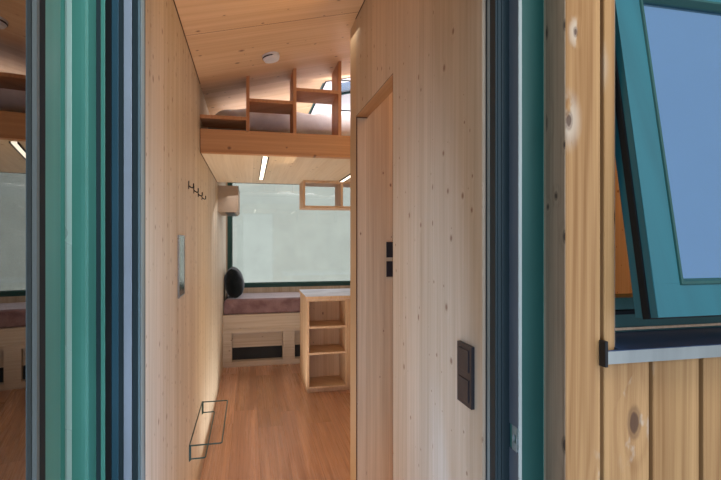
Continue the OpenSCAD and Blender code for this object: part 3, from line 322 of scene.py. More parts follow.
SPRUCE = dict(light=(208, 190, 164), dark=(174, 152, 122), stave=0.121)
M = {
    "wall": wood(across="y", cells=(14.0, 11.5), knot=0.0036, knot_share=0.7, **SPRUCE),
    "end_wall": wood(**SPRUCE),
    "partition": wood((208, 188, 160), (172, 149, 120), across="xy", stave=0.121, cells=(11.0, 9.0),
                      knot=0.0031, knot_share=0.65, knot_tone=(132, 94, 68), contrast=0.8),
    "bath_wall": wood((212, 186, 148), (176, 148, 114), stave=0.121),
    # Darker wood for the board under the bathroom's door head: painted shade.
    "head": wood((180, 134, 90), (148, 104, 64), along="y"),
    "ceiling": wood((220, 180, 136), (188, 143, 100), along="x", across="y", stave=0.20, cells=(8.0, 6.5),
                    knot=0.005, knot_share=0.6, joint=0.04, contrast=0.7),
    "beam": wood((206, 150, 98), (168, 112, 66), along="x", across="z", knot=0.0042, cells=(9.0, 7.5),
                 knot_share=0.5),
    "loft": wood((226, 204, 170), (196, 168, 132), along="y", stave=0.20, cells=(9.0, 7.5), contrast=0.6),
    "guard": wood((204, 146, 98), (168, 108, 66), across="xy"),
    "joinery": wood((222, 188, 150), (192, 152, 114), across="xy", knot_share=0.2),
    "bench": wood((208, 186, 158), (178, 152, 124), along="x", across="z", knot_share=0.25),
    "larch": wood((190, 150, 98), (140, 100, 58), across="xy", figure=0.22, cells=(7.5, 3.6), knot=0.0070,
                  knot_share=0.7, knot_tone=(74, 50, 38), patch=0.6, uneven=0.2, rough=0.62,
                  contrast=0.95),
    "oak": wood((208, 156, 118), (140, 96, 70), along="y", figure=0.08, stave=0.19, plank=1.45,
                cells=(5.0, 3.0), knot=0.003, knot_share=0.08, knot_tone=(70, 42, 28), uneven=0.36,
                rough=0.26, joint=0.5, contrast=0.8),
    "reveal": wood((176, 154, 126), (120, 100, 78), across="y", cells=(14.0, 9.0), knot=0.006,
                   knot_share=0.8, knot_tone=(44, 32, 26), rough=0.6),
    "green": coated((70, 133, 117), 0.34),
    "sash_green": coated((28, 92, 98), 0.34),
    "green_dark": coated((24, 70, 64), 0.36),
    # Blue for the door frame's inner face: a painted sky reflection.
    "sky_reflection_blue": coated((40, 74, 86), 0.34),
    "navy": coated((32, 48, 52), 0.34),
    "night": coated((28, 44, 48), 0.5),
    "line_grey": coated((132, 144, 140), 0.5),
    "lip_grey": coated((92, 114, 118), 0.5),
    "side_grey": coated((100, 108, 114), 0.45),
    # Light grey for the strike plate, and for the lock side's edge, where it is a painted highlight.
    "edge_grey": coated((148, 156, 148), 0.5),
    # Light teal, slightly metallic, for the hinge side's outer edge: a painted highlight.
    "painted_highlight": coated((190, 226, 212), 0.28, metallic=0.3),
    "sill": coated((38, 62, 92), 0.3),
    "sill_edge": coated((142, 146, 138), 0.4),
    "grey_alu": coated((150, 162, 172), 0.32, metallic=0.3),
    "bead": coated((80, 88, 84), 0.5),
    "roof": coated((86, 92, 98), 0.45, 0.2),
    "trim": coated((60, 66, 70), 0.42),
    "black": coated((24, 25, 27), 0.45),
    "rack": coated((44, 78, 74), 0.4),
    "membrane": cloth((22, 22, 24), (12, 12, 14), 0.004, sheen=0.05),
    "seal": plastic((14, 18, 20), 0.85),
    "tyre": plastic((34, 34, 36), 0.75, 160.0, 0.0006),
    "steel": steel((196, 198, 202)),
    "zinc": steel((168, 174, 178), 0.42, spangle=True),
    "white": plastic((214, 216, 226), 0.4),
    "white_plastic": plastic((226, 222, 216), 0.42),
    "beige": plastic((160, 135, 108), 0.5),
    "dark_plastic": plastic((40, 40, 44), 0.4),
    # Dark grey for the lower half behind the day bed's openings: painted shade.
    "painted_shade_grey": plastic((40, 42, 42), 0.7),
    # Dark brown for the ceiling's panel joint, and for the lines in the corners, where it is painted shade.
    "joint": plastic((92, 62, 42), 0.8),
    "velvet": cloth((150, 118, 112), (98, 66, 62), 0.0018, 0.5, sheen=0.8),
    "pillow": cloth((22, 28, 29), (8, 11, 12), 0.0016, 0.5, sheen=0.25),
    "linen": cloth((226, 214, 210), (196, 184, 184), 0.0012),
    "quilt": cloth((234, 224, 214), (208, 196, 188), 0.0014),
    "glass": glass((250, 254, 253), 1.45),
    # A light blue, mostly metallic pane for the awning sash: a painted sky reflection.
    "window_glass": glass((172, 214, 255), 1.6, 0.85),
    "far_glass": glass((230, 234, 228), 1.45),
    "sky_glass": glass((196, 220, 242), 1.45),
    "coated_glass": glass((88, 92, 92), 3.4),
    "mirror": steel((118, 116, 106), 0.10),
    "lining": plastic((236, 230, 224), 0.55),
    "led": glow((255, 244, 224), 2.2),
    "ground": stage_ground((206, 206, 204), (222, 222, 220)),
}
for key, material in M.items():
    material.name = key

NODE_MATERIALS = {
    "zinc": ["chassis_frame", "drawbar", "axles", "corner_legs", "jockey_wheel", "wheel_rims"],
    "oak": ["floor_deck"], "wall": ["left_wall", "right_wall"],
    "end_wall": ["front_wall_right", "front_wall_head", "rear_wall"], "bath_wall": ["bath_cross_wall"],
    "partition": ["bath_partition", "bath_door_head"], "ceiling": ["roof_deck"],
    "loft": ["loft_deck"], "beam": ["loft_beam"], "guard": ["guard_shelf"],
    "joinery": ["hanging_shelf", "kitchen_cabinet", "drawer_fronts"], "bench": ["day_bed_base"],
    "roof": ["roof_sheet"], "trim": ["roof_trim"],
    "green": ["door_leaf", "corner_lining", "door_frame"], "sash_green": ["awning_sash"],
    "green_dark": ["awning_frame", "panorama_frame", "skylight_frame"],
    "steel": ["door_hinges", "strike_plate", "window_stays", "door_handles"],
    "sill": ["door_sill", "window_sill"], "black": ["guard_rods", "coat_hooks"],
    "rack": ["wire_rack"], "led": ["light_strips"], "white": ["worktop"], "beige": ["wall_unit"],
    "white_plastic": ["smoke_detector"], "mirror": ["wall_mirror"],
    "dark_plastic": ["wall_switches"], "larch": ["side_cladding", "front_cladding", "rear_cladding"],
    "glass": ["door_glass", "awning_glass", "panorama_glass", "skylight_glass"],
    "tyre": ["tyres"], "linen": ["loft_mattress"], "velvet": ["day_bed_mattress"],
    "pillow": ["day_bed_pillow"],
}
for key, names in NODE_MATERIALS.items():
    for name in names:
        data = nodes[name].data
        data.materials.clear()
        data.materials.append(M[key])

# Slot names that most new pieces take as an argument
PAINT = "green_paint"
TIMBER = "spruce_panel"
DARK = "dark_plastic"


class Build:
    """One new piece, collected in a mesh. Every vertex keeps its board's number for the wood."""

    def __init__(self, name):
        self.name = name
        self.bm = bmesh.new()
        self.layer = self.bm.verts.layers.float.new("board")

    def verts(self, points, board=0.0):
        made = []
        for point in points:
            vert = self.bm.verts.new(point)
            vert[self.layer] = board
            made.append(vert)
        return made

    def face(self, corners):
        return self.bm.faces.new(corners)

    def skin(self, loops, wrap=True, closed=True):
        """Faces between neighbouring loops of vertices, all of one length."""
        pairs = zip(loops, loops[1:] + loops[:1]) if wrap else zip(loops, loops[1:])
        for a, b in pairs:
            for p in range(len(a) if closed else len(a) - 1):
                q = (p + 1) % len(a)
                self.face([a[p], b[p], b[q], a[q]])

    def box(self, lo, hi):
        x0, y0, z0 = lo
        x1, y1, z1 = hi
        self.slab([(x0, y0, z0), (x1, y0, z0), (x1, y1, z0), (x0, y1, z0)], (0, 0, z1 - z0))

    def slab(self, outline, thick, board=0.0):
        """A flat outline pushed along a vector."""
        a = self.verts(outline, board)
        b = self.verts([Vector(p) + Vector(thick) for p in outline], board)
        self.face(list(reversed(a)))
        self.face(b)
        for k in range(len(a)):
            j = (k + 1) % len(a)
            self.face([a[k], a[j], b[j], b[k]])

    def ring(self, edges, profile, open_foot=False):
        """A profile of (inset, depth) points swept round an upright rectangle with mitred corners."""
        x0, x1, z0, z1 = edges
        foot = 0 if open_foot else 1
        corners = [(x0, z0, 1, foot), (x0, z1, 1, -1), (x1, z1, -1, -1), (x1, z0, -1, foot)]
        loops = [self.verts([(x + sx * i, d, z + sz * i) for i, d in profile])
                 for x, z, sx, sz in corners]
        self.skin(loops, wrap=not open_foot)
        if open_foot:
            self.face(loops[0])
            self.face(list(reversed(loops[-1])))

    def disc(self, centre, normal, radius, thick, count=10):
        """A short round stud, such as a screw's head."""
        normal = Vector(normal).normalized()
        side = normal.orthogonal().normalized()
        other = normal.cross(side)
        outline = [Vector(centre) + radius * (math.cos(a) * side + math.sin(a) * other)
                   for a in (2 * math.pi * k / count for k in range(count))]
        self.slab(outline, normal * thick)

    def lathe(self, matrix, outline, count=48, closed=False):
        """Outlines of (radius, height) points round an axis. An outline may change with the step."""
        loops = []
        for k in range(count):
            turn = 2 * math.pi * k / count
            points = outline(k) if callable(outline) else outline
            loops.append(self.verts([matrix @ Vector((r * math.cos(turn), r * math.sin(turn), h))
                                     for r, h in points]))
        self.skin(loops, closed=closed)

    def done(self, material, slot=None, bevel=0.0, body="root", matrix=HOUSE, smooth=False, replaces=None):
        if matrix is not None:
            self.bm.transform(matrix)
        bmesh.ops.remove_doubles(self.bm, verts=self.bm.verts, dist=1e-6)
        bmesh.ops.recalc_face_normals(self.bm, faces=self.bm.faces)
        mesh = bpy.data.meshes.new(self.name)
        self.bm.to_mesh(mesh)
        self.bm.free()
        for polygon in mesh.polygons:
            polygon.use_smooth = smooth
        made = bpy.data.objects.new(self.name, mesh)
        if bevel:
            edge = made.modifiers.new("edge", "BEVEL")
            edge.width, edge.segments, edge.limit_method = bevel, 2, "ANGLE"
            edge.harden_normals = False
        return enter(made, material, body, replaces)


def enter(made, material, body, replaces):
    """Puts a new piece into the scene, on its body, and hides the model parts it replaces."""
    bpy.context.scene.collection.objects.link(made)
    made.data.materials.append(M[material])
    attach(made, body)
    if replaces:
        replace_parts(made, replaces)
    return made


def solid(name, material, slot=None, bevel=0.0, boxes=(), slabs=(), rings=(), open_foot=False, **rest):
    """A piece out of boxes, pushed outlines, and profiles swept round rectangles."""
    piece = Build(name)
    for outline, thick in slabs:
        piece.slab(outline, thick)
    for lo, hi in boxes:
        piece.box(lo, hi)
    for edges, profile in rings:
        piece.ring(edges, profile, open_foot)
    return piece.done(material, slot, bevel, **rest)


def wire(name, paths, radius, material, slot, corner, replaces, body="root", matrix=HOUSE):
    """Round bars that follow points, with their corners bent to a radius."""
    data = bpy.data.curves.new(name, "CURVE")
    data.dimensions = "3D"
    data.bevel_depth = radius
    data.bevel_resolution = 3
    data.use_fill_caps = True
    for path in paths:
        points = [Vector(p) for p in path]
        bent = [points[0]]
        for before, here, after in zip(points, points[1:], points[2:]):
            a = here + (before - here).normalized() * corner
            b = here + (after - here).normalized() * corner
            bent += [a.lerp(here, t).lerp(here.lerp(b, t), t) for t in (0, 0.2, 0.4, 0.6, 0.8, 1)]
        bent.append(points[-1])
        spline = data.splines.new("POLY")
        spline.points.add(len(bent) - 1)
        for spot, point in zip(spline.points, bent):
            spot.co = (*(matrix @ point), 1)
    return enter(bpy.data.objects.new(name, data), material, body, replaces)


# Camera, stage and light
camera = bpy.data.objects.new("camera", bpy.data.cameras.new("camera"))
bpy.context.scene.collection.objects.link(camera)
camera.data.lens, camera.data.sensor_width = 24.0, 36.0
camera.location = at(-0.825, -0.87, 1.44)
camera.rotation_euler = (QUARTER, 0, -math.radians(13))
camera.data.clip_start, camera.data.clip_end = 0.02, 200
bpy.context.scene.camera = camera
bpy.context.scene.view_settings.view_transform = "Standard"

ground = solid("ground", "ground", boxes=[((-7, -9, -0.05), (7, 9, 0.0))], matrix=None)
ground.parent = None

bpy.context.scene.world = bpy.data.worlds.new("world")
sky = Shade(bpy.context.scene.world)
rays = sky.add("LightPath").outputs
look = sky.calc("MAXIMUM", rays["Is Camera Ray"], rays["Is Transmission Ray"])
daylight = sky.add("Background", {0: rgb(214, 226, 240), 1: 0.62}).outputs[0]
shown = sky.add("Background", {0: rgb(236, 240, 244), 1: 1.0}).outputs[0]
sky.add("OutputWorld", {0: sky.add("MixShader", {0: look, 1: daylight, 2: shown}).outputs[0]})

# Lamps as name, place, aim, size, power and colour. Softboxes and the roof's lamp show in gloss.
WARM = (255, 250, 242)
for name, where, aim, size, power, color in (
        ("softbox_front", (2.6, -6.5, 4.2), (0.2, 0, 1.2), (4.0, 4.0), 140, WARM),
        ("softbox_left", (-7.0, 1.0, 4.0), (-1.0, 2.6, 1.2), (4.0, 4.0), 170, WARM),
        ("softbox_right", (7.5, 4.0, 4.5), (1.0, 3.0, 1.0), (4.0, 4.0), 170, WARM),
        ("softbox_rear", (-1.5, 13.5, 4.5), (0.0, 5.6, 1.2), (4.0, 4.0), 170, WARM),
        ("door_right", (0.70, -1.9, 1.15), (-1.05, 0.7, 0.45), (0.9, 1.3), 15, (184, 206, 255)),
        ("door_left", (-0.94, -1.25, 0.85), (-0.30, 0.9, 0.40), (0.3, 0.9), 13.5, (186, 206, 250)),
        ("doorway_light", (-0.80, 0.12, 0.95), (-0.68, 2.2, 0.45), (0.42, 1.6), 7.5, (160, 202, 255)),
        ("front_sky", (0.05, -1.2, 3.3), (0.0, 0.0, 2.1), (1.0, 0.4), 36, (238, 242, 255)),
        ("window_light", (0.0, REAR_Y - 0.03, 1.5), (0.0, 0.0, 1.1), (2.0, 1.1), 18, (228, 240, 255)),
        ("roof_light", (0.08, 3.14, 2.75), (-0.1, 3.14, 0.0), (0.65, 1.0), 14, (246, 246, 255)),
        ("corridor_light", (-0.46, 0.95, 2.15), (-1.1, 0.95, 2.15), (0.6, 1.3), 2.4, (255, 202, 112)),
        ("wall_sky", (-0.42, 0.19, 0.55), (-1.1, 1.05, 0.35), (0.30, 0.9), 4.0, (118, 180, 255)),
        ("cabinet_light", (-0.50, 1.9, 1.0), (-0.3, 2.9, 0.5), (0.4, 0.5), 2.6, (255, 214, 160)),
        ("corridor_bounce", (-0.70, 1.3, 0.04), (-0.70, 1.3, 2.0), (0.6, 2.4), 4.6, (255, 208, 150)),
        ("partition_light", (-0.95, 1.0, 1.30), (-0.257, 1.1, 1.25), (0.3, 1.0), 1.1, (255, 214, 172)),
        ("far_wall_light", (-0.45, 2.3, 1.5), (-1.1, 2.3, 1.4), (0.3, 0.9), 1.6, (255, 222, 178)),
        ("landing_light", (0.1, 1.9, 2.5), (-0.2, 2.2, 0.0), (1.2, 0.4), 4, (255, 244, 230)),
        ("loft_bounce", (-0.25, 2.95, 2.32), (-0.25, 2.95, 3.0), (1.5, 0.9), 8, (206, 222, 255)),
        ("loft_front", (0.0, 2.48, 2.62), (0.0, 3.0, 2.25), (1.6, 0.2), 20, (232, 238, 255)),
        ("living_bounce", (-0.72, 3.0, 0.05), (-0.72, 3.1, 2.0), (0.6, 1.6), 15, (238, 240, 240)),
        ("living_light", (-0.75, 3.9, 1.9), (-0.60, 4.4, 0.3), (0.5, 1.6), 4.5, (236, 242, 255)),
        ("bath_light", (0.4, 1.0, 2.5), (0.4, 1.0, 0.0), (0.8, 0.8), 6, (255, 180, 106)),
        ("bath_bounce", (0.1, 1.2, 0.06), (-0.2, 1.2, 2.0), (0.5, 0.4), 1.0, (255, 176, 104))):
    data = bpy.data.lights.new(name, "AREA")
    data.shape = "RECTANGLE"
    data.size, data.size_y = size
    data.energy = power
    data.color = rgb(*color)[:3]
    lamp = bpy.data.objects.new(name, data)
    bpy.context.scene.collection.objects.link(lamp)
    lamp.location = at(*where)
    lamp.rotation_mode = "QUATERNION"
    lamp.rotation_quaternion = (at(*aim) - at(*where)).to_track_quat("-Z", "Y")
    lamp.visible_camera = False
    lamp.visible_glossy = name.startswith(("softbox", "roof"))
    lamp.visible_transmission = False


def settle(made, voxel, pressure, reach, low, high, spare, frames=16):
    """Fills a cushion's cover with pressure, keeps it inside its limits and flat where it rests."""
    remesh = made.modifiers.new("cloth_mesh", "REMESH")
    remesh.mode, remesh.voxel_size = "VOXEL", voxel
    remesh.use_smooth_shade = True

    def bake():
        mesh = bpy.data.meshes.new_from_object(made.evaluated_get(bpy.context.evaluated_depsgraph_get()))
        made.modifiers.clear()
        made.data = mesh

    bake()
    start = [v.co.copy() for v in made.data.vertices]
    cover = made.modifiers.new("cover", "CLOTH")
    rules = cover.settings
    rules.quality, rules.mass = 4, 0.3
    rules.use_pressure, rules.uniform_pressure_force = True, pressure
    rules.shrink_min = -spare
    rules.tension_stiffness = rules.compression_stiffness = 15
    rules.bending_stiffness = 0.4
    rules.effector_weights.gravity = 0
    cover.collision_settings.use_collision = False
    cover.point_cache.frame_start, cover.point_cache.frame_end = 1, frames
    for step in range(1, frames + 1):
        bpy.context.scene.frame_set(step)
    bake()
    bpy.context.scene.frame_set(1)
    for vert, was in zip(made.data.vertices, start):
        move = vert.co - was
        if move.length > reach:
            move *= reach / move.length
        vert.co = Vector(min(max(c, a), b) for c, a, b in zip(was + move, low, high))
    for polygon in made.data.polygons:
        polygon.use_smooth = True
    soft = made.modifiers.new("soft", "SUBSURF")
    soft.levels = soft.render_levels = 1


def mattress(name, node, inset, voxel, material, slot):
    lo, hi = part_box(node)
    made = solid(name, material, slot, matrix=None,
                 boxes=[(lo + Vector((inset, inset, 0.0)), hi - Vector((inset, inset, 0.010)))])
    edge = made.modifiers.new("edge", "BEVEL")
    edge.width, edge.segments = 0.018, 3
    settle(made, voxel, 4.0, 0.026, lo, hi, 0.025)
    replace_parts(made, node)


def pillow(name, size, matrix, material, voxel, slot, low, high, belly=0.0):
    """A cushion with thin seams and a full middle, as thick as size's first number. Belly fills its foot."""
    half_x, half_y, half_z = (length / 2 for length in size)
    piece = Build(name)
    piece.box((-half_x, -half_y, -half_z), (half_x, half_y, half_z))
    grid = piece.bm
    bmesh.ops.subdivide_edges(grid, edges=grid.edges[:], cuts=15, use_grid_fill=True)
    for vert in grid.verts:
        u, v = vert.co.y / half_y, vert.co.z / half_z
        full = max(0.0, (1 - abs(u) ** 4) * (1 - abs(v) ** 4)) ** 0.4
        vert.co.x *= (0.16 + 0.80 * full) * (1 - belly * v)
        vert.co.y *= 1 - 0.05 * (1 - v * v)
        vert.co.z *= 1 - 0.05 * (1 - u * u)
    made = piece.done(material, slot, matrix=matrix)
    settle(made, voxel, 4.5, 0.022, low, high, 0.03)
    return made


mattress("bed_cushion", "day_bed_mattress", 0.006, 0.0135, "velvet", "mauve_fabric")
mattress("loft_bedding", "loft_mattress", 0.008, 0.018, "linen", "white_fabric")

pillow_lo, pillow_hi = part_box("day_bed_pillow")
LEAN = math.radians(9)
turn = Matrix.Rotation(-LEAN, 4, "Y")
foot = Vector((pillow_lo.x, (pillow_lo.y + pillow_hi.y) / 2, pillow_lo.z))
middle = foot + Vector((0.340 * math.sin(LEAN), 0, 0)) + turn @ Vector((0.085, 0, 0.165))
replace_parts(pillow("bed_pillow", (0.185, 0.480, 0.335), shift(*middle) @ turn, "pillow", 0.0075,
                   "dark_fabric", pillow_lo, pillow_hi, belly=0.22), "day_bed_pillow")

loft_lo, loft_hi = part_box("loft_mattress")
quilt = Build("loft_quilt")
X0, X1, Y0, Y1 = loft_lo.x + 0.02, loft_lo.x + 1.62, loft_lo.y + 0.015, loft_hi.y - 0.10
NX, NY = 96, 72
upper, lower = [], []
for i in range(NX + 1):
    for j in range(NY + 1):
        a, b = i / NX, j / NY
        x, y = X0 + a * (X1 - X0), Y0 + b * (Y1 - Y0)
        near = y - Y0
        crest = 0.125 * math.exp(-((near - 0.14 - 0.03 * math.sin(3.1 * x)) / 0.11) ** 2)
        crest += 0.045 * math.exp(-((near - 0.47 - 0.07 * math.sin(2.1 * x + 1.0)) / 0.10) ** 2)
        wave = noise.noise(Vector((3.4 * x, 5.2 * y, 0.0))) * 0.030
        wave += abs(noise.noise(Vector((9.0 * x + 2.0 * y, 6.0 * y, 4.0)))) * 0.034
        round_off = (1 - (2 * a - 1) ** 12) * (1 - (2 * b - 1) ** 16)
        z = 0.024 + (crest + wave + 0.018) * max(0.0, round_off) ** 0.5
        upper.append((x, y, loft_hi.z + max(z, 0.026)))
        lower.append((x, y, loft_hi.z + 0.002))
upper, lower = quilt.verts(upper), quilt.verts(lower)
step = NY + 1
for i in range(NX):
    for j in range(NY):
        k = i * step + j
        for sheet in (upper, lower):
            quilt.face([sheet[k], sheet[k + step], sheet[k + step + 1], sheet[k + 1]])
rim = list(range(NY)) + [i * step + NY for i in range(NX)]
rim += [NX * step + j for j in range(NY, 0, -1)] + [i * step for i in range(NX, 0, -1)]
for k, after in zip(rim, rim[1:] + rim[:1]):
    quilt.face([upper[k], upper[after], lower[after], lower[k]])
quilt.done("quilt", "white_fabric", matrix=None, smooth=True)
for name, y in (("loft_pillow_1", 0.34), ("loft_pillow_2", 0.90)):
    pillow(name, (0.110, 0.50, 0.40),
           shift(loft_hi.x - 0.26, loft_lo.y + y, loft_hi.z + 0.058) @ Matrix.Rotation(QUARTER, 4, "Y"),
           "linen", 0.012, "white_fabric", (loft_hi.x - 0.50, loft_lo.y, loft_hi.z - 0.004),
           (loft_hi.x - 0.012, loft_hi.y, loft_hi.z + 0.15))


def clad(name, spans, top, openings, wall, depth, thick, material, seed, node=None):
    """Upright boards. Each board is cut round the openings and follows the roof."""
    rng = random.Random(seed)
    piece = Build(name)
    for s0, s1 in spans:
        board = rng.random()
        cuts = sorted({s0, s1, *(c for o in openings for c in o[:2] if s0 < c < s1)})
        heights = sorted({SKIRT, *(z for o in openings if o[0] < s1 and o[1] > s0 for z in o[2:])})
        grid = {}

        def corner(s, k):
            if (s, k) not in grid:
                z = heights[k] if k < len(heights) else top(s)
                grid[s, k] = piece.verts([wall(s, z, depth)], board)[0]
            return grid[s, k]

        for a, b in zip(cuts, cuts[1:]):
            middle = (a + b) / 2
            for k, low in enumerate(heights):
                if not any(o[0] <= middle <= o[1] and o[2] <= low < o[3] for o in openings):
                    piece.face([corner(a, k), corner(b, k), corner(b, k + 1), corner(a, k + 1)])
    made = piece.done(material, "larch_cladding" if node else None, matrix=None)
    body = made.modifiers.new("thickness", "SOLIDIFY")
    body.thickness, body.offset = thick, 0.0
    edge = made.modifiers.new("edge", "BEVEL")
    edge.width, edge.segments, edge.limit_method = 0.0016, 1, "ANGLE"
    if node:
        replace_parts(made, node)


def row(start, end, width, gap):
    """Board edges from start to end, with the last board cut to fit."""
    spans, s = [], start
    while s < end - 0.02:
        spans.append((s, min(s + width, end)))
        s += width + gap
    return spans


door_hi = place("door_frame")[1]
awning_lo, awning_hi = place("awning_frame")
pano_lo, pano_hi = place("panorama_frame")
DOORWAY = (-CORE_X, door_hi.x, 0.0, door_hi.z)
AWNING = (awning_lo.x, awning_hi.x, awning_lo.z, awning_hi.z)
PANORAMA = (pano_lo.x, pano_hi.x, pano_lo.z, pano_hi.z)
CLAD_T = HALF_W - CORE_X
front_spans = [(-b, -a) for a, b in row(-door_hi.x + 0.010, CORE_X, 0.122, 0.010)]
front_spans += [(door_hi.x, door_hi.x + 0.083), (door_hi.x + 0.092, door_hi.x + 0.205)]
front_spans += row(door_hi.x + 0.215, CORE_X, 0.122, 0.012)
side_spans = row(0.0, HOUSE_L, 0.124, 0.0115)
ENDS = (-CORE_X, CORE_X)
SIDE_ENDS = (CLAD_T, HOUSE_L - CLAD_T)
# Walls as name, node, boards, ends, top, openings, place of a point at a depth, and seed
WALLS = (
    ("front", "front_cladding", front_spans, ENDS, roof, [DOORWAY, AWNING], lambda s, z, d: at(s, d, z), 3),
    ("rear", "rear_cladding", row(-CORE_X, CORE_X, 0.122, 0.011), ENDS, roof, [PANORAMA],
     lambda s, z, d: at(s, HOUSE_L - d, z), 5),
    ("left", "side_cladding", side_spans, SIDE_ENDS, lambda s: roof(-HALF_W), [],
     lambda s, z, d: at(-HALF_W + d, s, z), 7),
    ("right", "side_cladding", side_spans, SIDE_ENDS, lambda s: roof(HALF_W), [],
     lambda s, z, d: at(HALF_W - d, s, z), 9))
for name, node, spans, ends, top, openings, wall, seed in WALLS:
    clad(name + "_boards", spans, top, openings, wall, BOARD_T / 2, BOARD_T, "larch", seed, node)
for name, node, spans, ends, top, openings, wall, seed in WALLS:
    clad(name + "_membrane", [ends], top, openings, wall, CLAD_T - FILM_T, FILM_T, "membrane", 1)

# Doorway: the lip's sides, the depth of the rebate's two floors, and the lip's height
LIP_X0, LIP_X1 = -1.029, -0.285
RECESS = 0.076
STEP = 0.116
LIP_Z = door_hi.z - 0.095
SILL_TOP = 0.028
LIP = (LIP_X0, LIP_X1, 0.0, LIP_Z)


def jamb(name, profile, material, slot=PAINT, z0=SILL_TOP, z1=LIP_Z, bevel=0.0008):
    """An upright strip with a profile of (x, depth) points."""
    solid(name, material, slot, bevel, slabs=[([(x, y, z0) for x, y in profile], (0, 0, z1 - z0))])


def strip(name, x0, x1, y0, y1, material, **rest):
    """An upright strip with a square section."""
    jamb(name, [(x0, y0), (x1, y0), (x1, y1), (x0, y1)], material, **rest)


# Inner part of the frame: a dark lining over the rebate's floor and round the lip
solid("frame_lining", "night", PAINT, 0.0006, open_foot=True, rings=[(LIP, [
    (-0.036, STEP - 0.0015), (0.0015, STEP - 0.0015), (0.0015, INNER_Y + 0.0008), (0.0, INNER_Y + 0.0008),
    (0.0, STEP), (-0.036, STEP)])])
solid("frame_lip_seal", "night", open_foot=True, rings=[(LIP, [
    (-0.012, STEP - 0.0015), (-0.011, STEP - 0.0038), (-0.004, STEP - 0.0038), (-0.002, STEP - 0.0015)])])
# Hinge side, from the lip outwards
# The frame's inner face is blue: a painted sky reflection on its paint.
strip("frame_inner_face", -1.077, LIP_X0 - 0.036, STEP - 0.0035, STEP, "sky_reflection_blue")
strip("frame_rail", -1.056, -1.042, STEP - 0.0040, STEP, "grey_alu", slot="satin_steel")
strip("frame_lip_line", LIP_X0, LIP_X0 + 0.0028, 0.119, 0.148, "line_grey")
strip("frame_lip_edge", LIP_X0 - 0.0025, LIP_X0 + 0.0015, STEP - 0.0026, STEP, "lip_grey")
strip("frame_gasket", -1.088, -1.077, STEP - 0.0040, STEP, "seal", slot=None, bevel=0.002)
strip("frame_fillet", -1.096, -1.088, STEP - 0.0030, STEP, "green", bevel=0.0012)
strip("frame_line", -1.104, -1.096, STEP - 0.0015, STEP, "navy")
jamb("frame_corner_seal", [(-1.200, RECESS), (-1.200, 0.0745), (-1.193, 0.0732), (-1.182, 0.0732),
                           (-1.173, 0.0748), (-1.173, RECESS)], "seal", slot=None)
jamb("frame_outer_face", [(-1.1315, RECESS), (-1.1315, 0.0730), (-1.116, 0.0730), (-1.110, 0.0736),
                          (-1.1056, 0.0748), (-1.1052, RECESS)], "green")
# A light strip on the chamfer of the hinge side's outer edge: a painted highlight.
jamb("frame_outer_edge", [(-1.143, RECESS), (-1.143, 0.0752), (-1.139, 0.0734), (-1.1315, 0.0729),
                          (-1.1315, RECESS)], "painted_highlight", bevel=0.0012)
# Lock side
keep_lo, keep_hi = place("strike_plate")
strip("frame_lock_line", LIP_X1 - 0.0022, LIP_X1, 0.140, 0.152, "line_grey")
strip("frame_lock_rail", -0.2715, -0.2680, STEP - 0.0038, STEP, "navy")
strip("frame_lock_side_low", -0.2520, -0.2490, 0.0775, STEP, "side_grey", z1=keep_lo.z)
strip("frame_lock_side_high", -0.2520, -0.2490, 0.0775, STEP, "side_grey", z0=keep_hi.z)
# A light grey strip along the lock side's rounded edge: a painted highlight.
jamb("frame_lock_edge_highlight", [(-0.2530, RECESS), (-0.2530, 0.0752), (-0.2515, 0.0740), (-0.2450, 0.0740),
                         (-0.2450, RECESS)], "edge_grey", bevel=0.0007)
# The lock side's face takes the darker green, though it is the same paint as the hinge side's face: painted
# shade on that side.
strip("frame_lock_face", -0.2450, -0.1918, 0.0746, RECESS, "green_dark")

# Strike plate with its two keeps
keep = Build("strike_face")
keep_x = keep_lo.x - 0.0026
keep_y = (keep_lo.y + keep_hi.y) / 2
low_z, high_z = (keep_lo.z + keep_hi.z) / 2 - 0.009, (keep_lo.z + keep_hi.z) / 2 + 0.009
for z0, z1 in ((keep_lo.z, low_z), (high_z, keep_hi.z)):
    keep.box((keep_x, keep_lo.y, z0), (keep_hi.x, keep_hi.y, z1))
    keep.disc((keep_x, keep_y, (z0 + z1) / 2), (-1, 0, 0), 0.0034, 0.0008)
keep.box((keep_x, keep_lo.y, low_z), (keep_hi.x, keep_lo.y + 0.004, high_z))
keep.box((keep_x, keep_hi.y - 0.004, low_z), (keep_hi.x, keep_hi.y, high_z))
keep.done("edge_grey", "satin_steel", 0.0004, replaces="strike_plate")

# Timber reveals between the cladding and the door frame, and round the awning window
reveal = Build("door_reveal")
reveal.slab([(door_hi.x - 0.0015, 0.0012, 0.006), (door_hi.x - 0.0015, 0.0660, 0.006),
             (door_hi.x, 0.0660, 0.006), (door_hi.x, 0.0012, 0.006)], (0, 0, door_hi.z - 0.008), 0.37)
reveal.done("reveal", TIMBER)
solid("window_reveal", "reveal", TIMBER,
      rings=[(AWNING, [(0.0, 0.0012), (0.0018, 0.0012), (0.0018, 0.089), (0.0, 0.089)])])

# Door leaf: its edge, the thicker body in the frame's rebate, and the opening for the pane
leaf_lo, leaf_hi = local_box("door_leaf", LEAF)
pane_lo, pane_hi = local_box("door_glass", LEAF)
LX1 = leaf_hi.x
LY0, LAP_Y, LY1 = 0.009, 0.076, leaf_hi.y
DOOR = dict(body="door", matrix=LEAF)
LEAF_EDGE = (0.006, LX1, leaf_lo.z, leaf_hi.z)
BODY = (LIP_X0 - 0.070 - HINGE_X, LIP_X1 + 0.026 - HINGE_X, 0.034, LIP_Z + 0.030)


def inset(box, edge):
    return box[0] + edge, box[1] - edge, box[2] + edge, box[3] - edge


